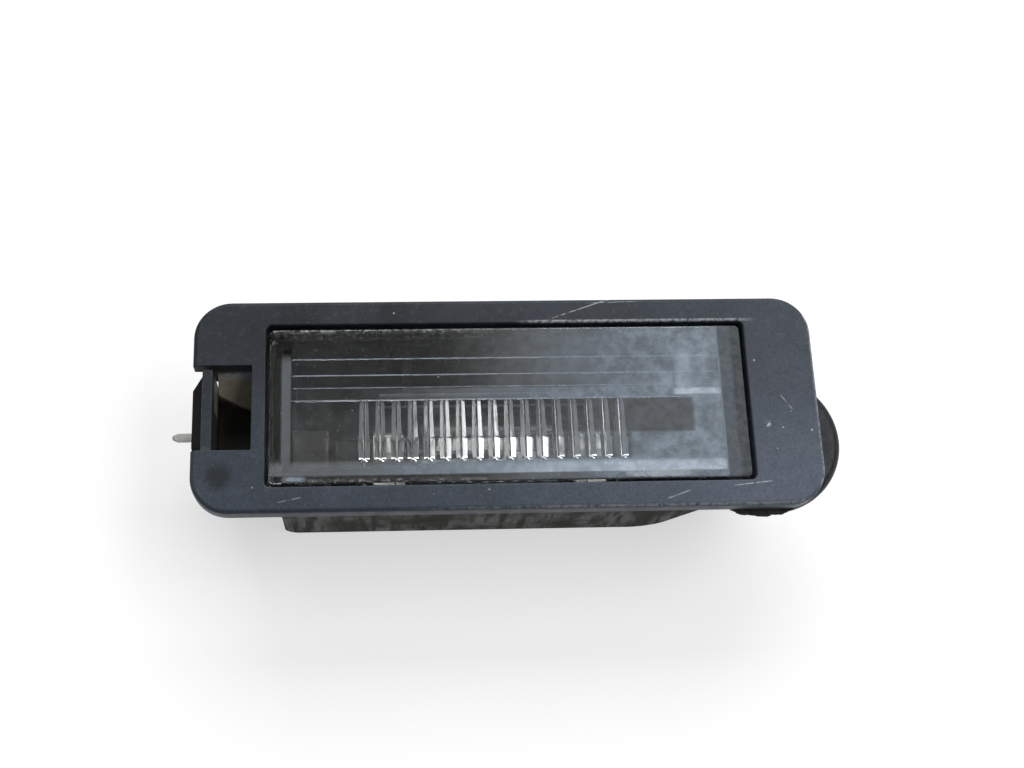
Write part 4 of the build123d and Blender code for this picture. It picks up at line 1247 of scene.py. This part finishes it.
def stake_posts(s):
    """Two posts whose melted heads hold the strips."""
    posts = []
    shank, head, head_height = s.stake
    for x, y, seat in (s.posts[:3], s.posts[3:]):
        half = s.post_width / 2
        post = block("post", (x - half, y - half, TUB_LOW.z + s.wall / 2), (x + half, y + half, seat))
        rise = s.strip_thickness
        combine(post, drum("shank", (x, y, seat + rise / 2), shank / 2, 2 * rise, 32))
        cap = drum("head", (x, y, seat + rise + head_height / 2), head / 2, head_height, 48)
        round_edges(cap, 0.6 * head_height, 4, level(seat + rise + head_height))
        posts.append(combine(post, cap))
    return posts


def pin_slots(s):
    """Cutters for the two slots that the pins come through."""
    y, z = s.socket_axis
    left = LENS_LOW.x + s.tub_inset
    width, height = s.pin_slot
    slots = []
    for side in SIDES:
        pin = z + side * s.pin_spacing / 2
        low = (left - s.wall, y - width / 2, pin - height / 2)
        slots.append(block("slot", low, (left + 2 * s.wall, y + width / 2, pin + height / 2)))
    return slots


class LAMP_OT_housing(bpy.types.Operator):
    """Model the rear housing with its snaps, socket, saddles and posts"""

    bl_idname = "plate_lamp.housing"
    bl_label = "Rear housing"
    bl_options = {"REGISTER", "UNDO"}

    def execute(self, context):
        settings = context.scene.plate_lamp
        s = settings.housing
        tub = housing_tub(s)
        for piece in (*snap_wedges(s, settings.bezel), socket_sleeve(s), *saddles(s), *stake_posts(s)):
            combine(tub, piece)
        for slot in pin_slots(s):
            cut(tub, slot)
        soften(tub, s.edge_softness)
        dress(tub, housing_finish(s), "housing_plastic", "rear_housing")
        return {"FINISHED"}


# Gasket and seal

def foam_strip(s, bezel):
    """Strip round the skirt, squeezed out at one place and tattered along its edge."""
    low, high = BOX["panel_gasket"]
    size = (bezel.flange_length - 2 * s.inset, 2 * (FRAME_HIGH.y - s.inset))
    strip = plan_slab("foam_gasket", size, low.z, high.z, bezel.corner_radius - s.inset, 0.0)
    place, bulge_length, reach = s.bulge
    level_middle = (low.z + high.z) / 2
    bulge = drum("bulge", (place, s.inset - FRAME_HIGH.y, level_middle), reach, high.z - low.z)
    pick(bulge, "VERT", anywhere)
    shy = 0.999  # keeps the bulge's faces out of the strip's
    stretch = (bulge_length / 2 / reach, 1.0, shy)
    bpy.ops.transform.resize(value=stretch, center_override=(place, 0.0, level_middle))
    rest()
    combine(strip, bulge)
    hole = [side + 2 * s.gap for side in bezel.skirt[:2]]
    cut(strip, plan_slab("hole", hole, low.z - MM, high.z + MM, bezel.skirt_radius + s.gap))
    cut(strip, block("end", (-bezel.flange_length, -1.0, low.z - MM), (low.x, 1.0, high.z + MM)))
    use_modifier(strip, "REMESH", mode="VOXEL", voxel_size=s.cell)
    tatter = bpy.data.textures.new("foam_tatter", "CLOUDS")
    tatter.noise_scale = 4 * s.cell
    tatter.noise_depth = 3
    use_modifier(
        strip, "DISPLACE", texture=tatter, texture_coords="GLOBAL", strength=s.tatter, mid_level=0.85
    )
    for vertex in strip.data.vertices:
        vertex.co.z = min(max(vertex.co.z, low.z), high.z)
        vertex.co.y = max(vertex.co.y, low.y)
    return smooth(strip, 60.0)


class LAMP_OT_gasket(bpy.types.Operator):
    """Model the worn foam strip and finish the lens seal"""

    bl_idname = "plate_lamp.gasket"
    bl_label = "Gasket and seal"
    bl_options = {"REGISTER", "UNDO"}

    def execute(self, context):
        settings = context.scene.plate_lamp
        s = settings.gasket
        dress(foam_strip(s, settings.bezel), foam_finish(s), "gasket_foam", "panel_gasket")
        dress_node("lens_seal", rubber_finish(s))
        return {"FINISHED"}


# Bulb, strips and reflector

def glass_section(s):
    """Closed section of the bulb's glass: outside from left to right, inside back again."""
    half = s.glass_length / 2
    end = (GLASS_HIGH.x - GLASS_LOW.x) / 2
    radius = (GLASS_HIGH.y - GLASS_LOW.y) / 2
    wall = s.glass_wall

    def skin(reach, barrel_radius, neck_radius, tip):
        """Half outline from the right tip to the middle, with an elliptic shoulder."""
        barrel = reach - s.shoulder
        rise = barrel_radius - neck_radius
        shoulder = [
            (barrel + s.shoulder * math.cos(turn), neck_radius + rise * math.sin(turn))
            for turn in sweep(math.pi / 2, 10)
        ]
        return [(tip, s.lead_bore), (tip, neck_radius), *shoulder]

    outer = skin(half, radius, s.neck_radius, end)
    inner = skin(half - wall, radius - wall, s.neck_radius - wall, end - wall)
    left = lambda points: [(-x, r) for x, r in points]
    return [*left(outer), *reversed(outer), *inner, *reversed(left(inner))]


def cap_section(s, side):
    """Closed section of one cap: sleeve with a rolled groove, cone and soldered tip."""
    low, high = BOX["bulb_cap_right"]
    start = s.glass_length / 2 + s.cap_gap
    tip = high.x - BULB_AXIS.x
    radius = (high.y - low.y) / 2
    cone, tip_radius = s.cone
    neck_end = (GLASS_HIGH.x - GLASS_LOW.x) / 2 + s.cap_fit
    place, width, depth = s.groove
    groove = [
        (start + place + width * turn / math.pi, radius - depth * math.sin(turn))
        for turn in sweep(math.pi, 8)
    ]
    bead = s.cap_fit
    dome = [
        (tip - bead * (1 - math.cos(turn)), tip_radius - bead + bead * math.sin(turn))
        for turn in (math.pi / 2, math.pi / 4, 0.0)
    ]
    bore = s.neck_radius + s.cap_fit
    section = [
        (start, bore), (start, radius - bead), (start + bead, radius), *groove,
        (tip - cone, radius), *dome, (tip, s.lead_bore), (neck_end, s.lead_bore), (neck_end, bore),
    ]
    return [(side * x, r) for x, r in section]


def turned(name, section, steps):
    """Section about the bulb's axis, turned right round."""
    points = [(BULB_AXIS.x + x, BULB_AXIS.y + r, BULB_AXIS.z) for x, r in section]
    return smooth(spun(name, points, BULB_AXIS, (1, 0, 0), steps))


def filament_coil(s):
    """Wire ring drawn along a screw path."""
    low, high = BOX["bulb_filament"]
    radius = (high.y - low.y) / 2 - s.wire
    run = high.x - low.x - 2 * s.wire
    rest()
    bpy.ops.mesh.primitive_circle_add(vertices=8, radius=s.wire, location=(0, radius, 0))
    coil = settle(bpy.context.object)
    coil.name = "filament_coil"
    coil.location = (low.x + s.wire, BULB_AXIS.y, BULB_AXIS.z)
    use_modifier(
        coil, "SCREW", axis="X", screw_offset=run / s.coil_turns, iterations=s.coil_turns,
        steps=16, render_steps=16, use_merge_vertices=False,
    )
    settle(coil)
    pick(coil, "VERT", anywhere)
    bpy.ops.mesh.select_all(action="DESELECT")
    bpy.ops.mesh.select_non_manifold()
    bpy.ops.mesh.fill_holes(sides=0)
    bpy.ops.mesh.select_all(action="SELECT")
    bpy.ops.mesh.normals_make_consistent(inside=False)
    return smooth(coil, 60.0)


class LAMP_OT_bulb(bpy.types.Operator):
    """Model the festoon bulb's glass, caps and filament, and finish its leads"""

    bl_idname = "plate_lamp.bulb"
    bl_label = "Bulb"
    bl_options = {"REGISTER", "UNDO"}

    def execute(self, context):
        s = context.scene.plate_lamp.bulb
        glass = turned("bulb_envelope", glass_section(s), 96)
        dress(glass, bulb_glass_finish(), "bulb_glass", "bulb_glass")
        cap_metal = metal_finish("plated_cap", s.cap_metal, s.oxide, 0.28, 1.0)
        for side, word in zip(SIDES, ("left", "right")):
            cap = turned("cap_" + word, cap_section(s, side), 72)
            dress(cap, cap_metal, "bulb_cap_metal", "bulb_cap_" + word)
        wire = metal_finish("drawn_wire", s.filament, s.oxide, 0.35)
        dress(filament_coil(s), wire, "filament_wire", "bulb_filament")
        dress_node("bulb_leads", wire)
        return {"FINISHED"}


class LAMP_OT_strips(bpy.types.Operator):
    """Model the two contact strips with their pins, and finish the reflector"""

    bl_idname = "plate_lamp.strips"
    bl_label = "Strips and reflector"
    bl_options = {"REGISTER", "UNDO"}

    def execute(self, context):
        s = context.scene.plate_lamp.bulb
        tin = metal_finish("tinned_strip", s.tin, s.oxide, 0.38, sooty_from=-34.0)
        for node in ("contact_live", "contact_earth"):
            strip = soft_copy(node, node.replace("contact", "strip"), s.edge_softness)
            dress(strip, tin, "tinned_strip", node)
        dress_node("reflector", metal_finish("reflector_sheet", s.sheet, s.oxide, 0.5))
        return {"FINISHED"}


# Stage

class LAMP_OT_stage(bpy.types.Operator):
    """Lay the floor, set the light and aim the camera"""

    bl_idname = "plate_lamp.stage"
    bl_label = "Stage"
    bl_options = {"REGISTER", "UNDO"}

    def execute(self, context):
        s = context.scene.plate_lamp.stage
        context.scene.view_settings.view_transform = "Standard"
        self.lay_floor(s)
        self.set_light(context, s)
        self.aim_camera(context, s)
        return {"FINISHED"}

    def lay_floor(self, s):
        """Pale floor that the lamp lies on."""
        rest()
        bpy.ops.mesh.primitive_plane_add(size=s.floor_size, location=(0, 0, CAD_BOX[0][Z]))
        floor = bpy.context.object
        floor.name = "floor"
        f = Finish("pale_floor", Roughness=0.9)
        f.drive("Base Color", f.mix(f.noise(0.004, 3.0), s.floor, shade(s.floor, 0.97)))
        path = f.node("LightPath").outputs
        seen = f.most(path["Is Camera Ray"], path["Is Glossy Ray"], path["Is Transmission Ray"])
        f.drive("Emission Color", (1.0, 1.0, 1.0))
        f.drive("Emission Strength", f.times(seen, s.floor_lift))
        floor.data.materials.append(f.material)

    def set_light(self, context, s):
        """Dim even sky, two large soft lights and four small ones that the flutes catch."""
        world = bpy.data.worlds.new("sky")
        context.scene.world = world
        world.use_nodes = True
        world.node_tree.nodes["Background"].inputs["Color"].default_value = (*s.sky, 1.0)
        for name in ("key", "top", "right", "left", "upper_right", "upper_left"):
            place = Vector(getattr(s, name + "_place"))
            light = bpy.data.lights.new("soft_" + name, "AREA")
            light.shape = "RECTANGLE"
            light.size, light.size_y = getattr(s, name + "_size")
            light.energy = getattr(s, name + "_glow") * math.pi * light.size * light.size_y
            lamp = bpy.data.objects.new("soft_" + name, light)
            lamp.location = place
            lamp.rotation_euler.x = math.atan2(-place.y, place.z)
            context.scene.collection.objects.link(lamp)

    def aim_camera(self, context, s):
        """Camera that sees the lamp as the photograph does."""
        tilt, yaw, roll = s.turn
        seen = Matrix.Rotation(roll, 4, "Z") @ Matrix.Rotation(tilt, 4, "X") @ Matrix.Rotation(yaw, 4, "Y")
        front = Matrix.Translation((0, 0, FRAME_HIGH.z))
        camera = bpy.data.objects.new("camera", bpy.data.cameras.new("camera"))
        camera.data.lens = s.focal
        camera.data.sensor_width = 36.0
        camera.data.shift_x = s.shift
        camera.data.clip_start = 10 * MM
        camera.matrix_world = front @ (Matrix.Translation(s.offset) @ seen).inverted()
        context.scene.collection.objects.link(camera)
        context.scene.camera = camera


class LAMP_PT_sidebar(bpy.types.Panel):
    """Steps of the lamp, in order"""

    bl_idname = "LAMP_PT_sidebar"
    bl_label = "Number Plate Lamp"
    bl_space_type = "VIEW_3D"
    bl_region_type = "UI"
    bl_category = "Plate Lamp"

    def draw(self, context):
        for step in STEPS:
            self.layout.operator(step.bl_idname)
        for group in LampSettings.__annotations__:
            box = self.layout.box()
            box.label(text=group.capitalize())
            settings = getattr(context.scene.plate_lamp, group)
            for name in type(settings).__annotations__:
                box.prop(settings, name)


STEPS = (
    LAMP_OT_bezel,
    LAMP_OT_lens,
    LAMP_OT_housing,
    LAMP_OT_gasket,
    LAMP_OT_bulb,
    LAMP_OT_strips,
    LAMP_OT_stage,
)
GROUPS = (
    BezelSettings,
    LensSettings,
    HousingSettings,
    GasketSettings,
    BulbSettings,
    StageSettings,
    LampSettings,
)
CLASSES = (*GROUPS, *STEPS, LAMP_PT_sidebar)


def register():
    """Registers the classes and hangs the settings on the scene."""
    for cls in CLASSES:
        bpy.utils.register_class(cls)
    bpy.types.Scene.plate_lamp = bpy.props.PointerProperty(type=LampSettings)


def unregister():
    """Takes back what register did."""
    del bpy.types.Scene.plate_lamp
    for cls in reversed(CLASSES):
        bpy.utils.unregister_class(cls)


def main():
    """Builds the lamp step by step."""
    register()
    for step in STEPS:
        group, name = step.bl_idname.split(".")
        getattr(getattr(bpy.ops, group), name)()
    rest()


if __name__ == "__main__":
    main()
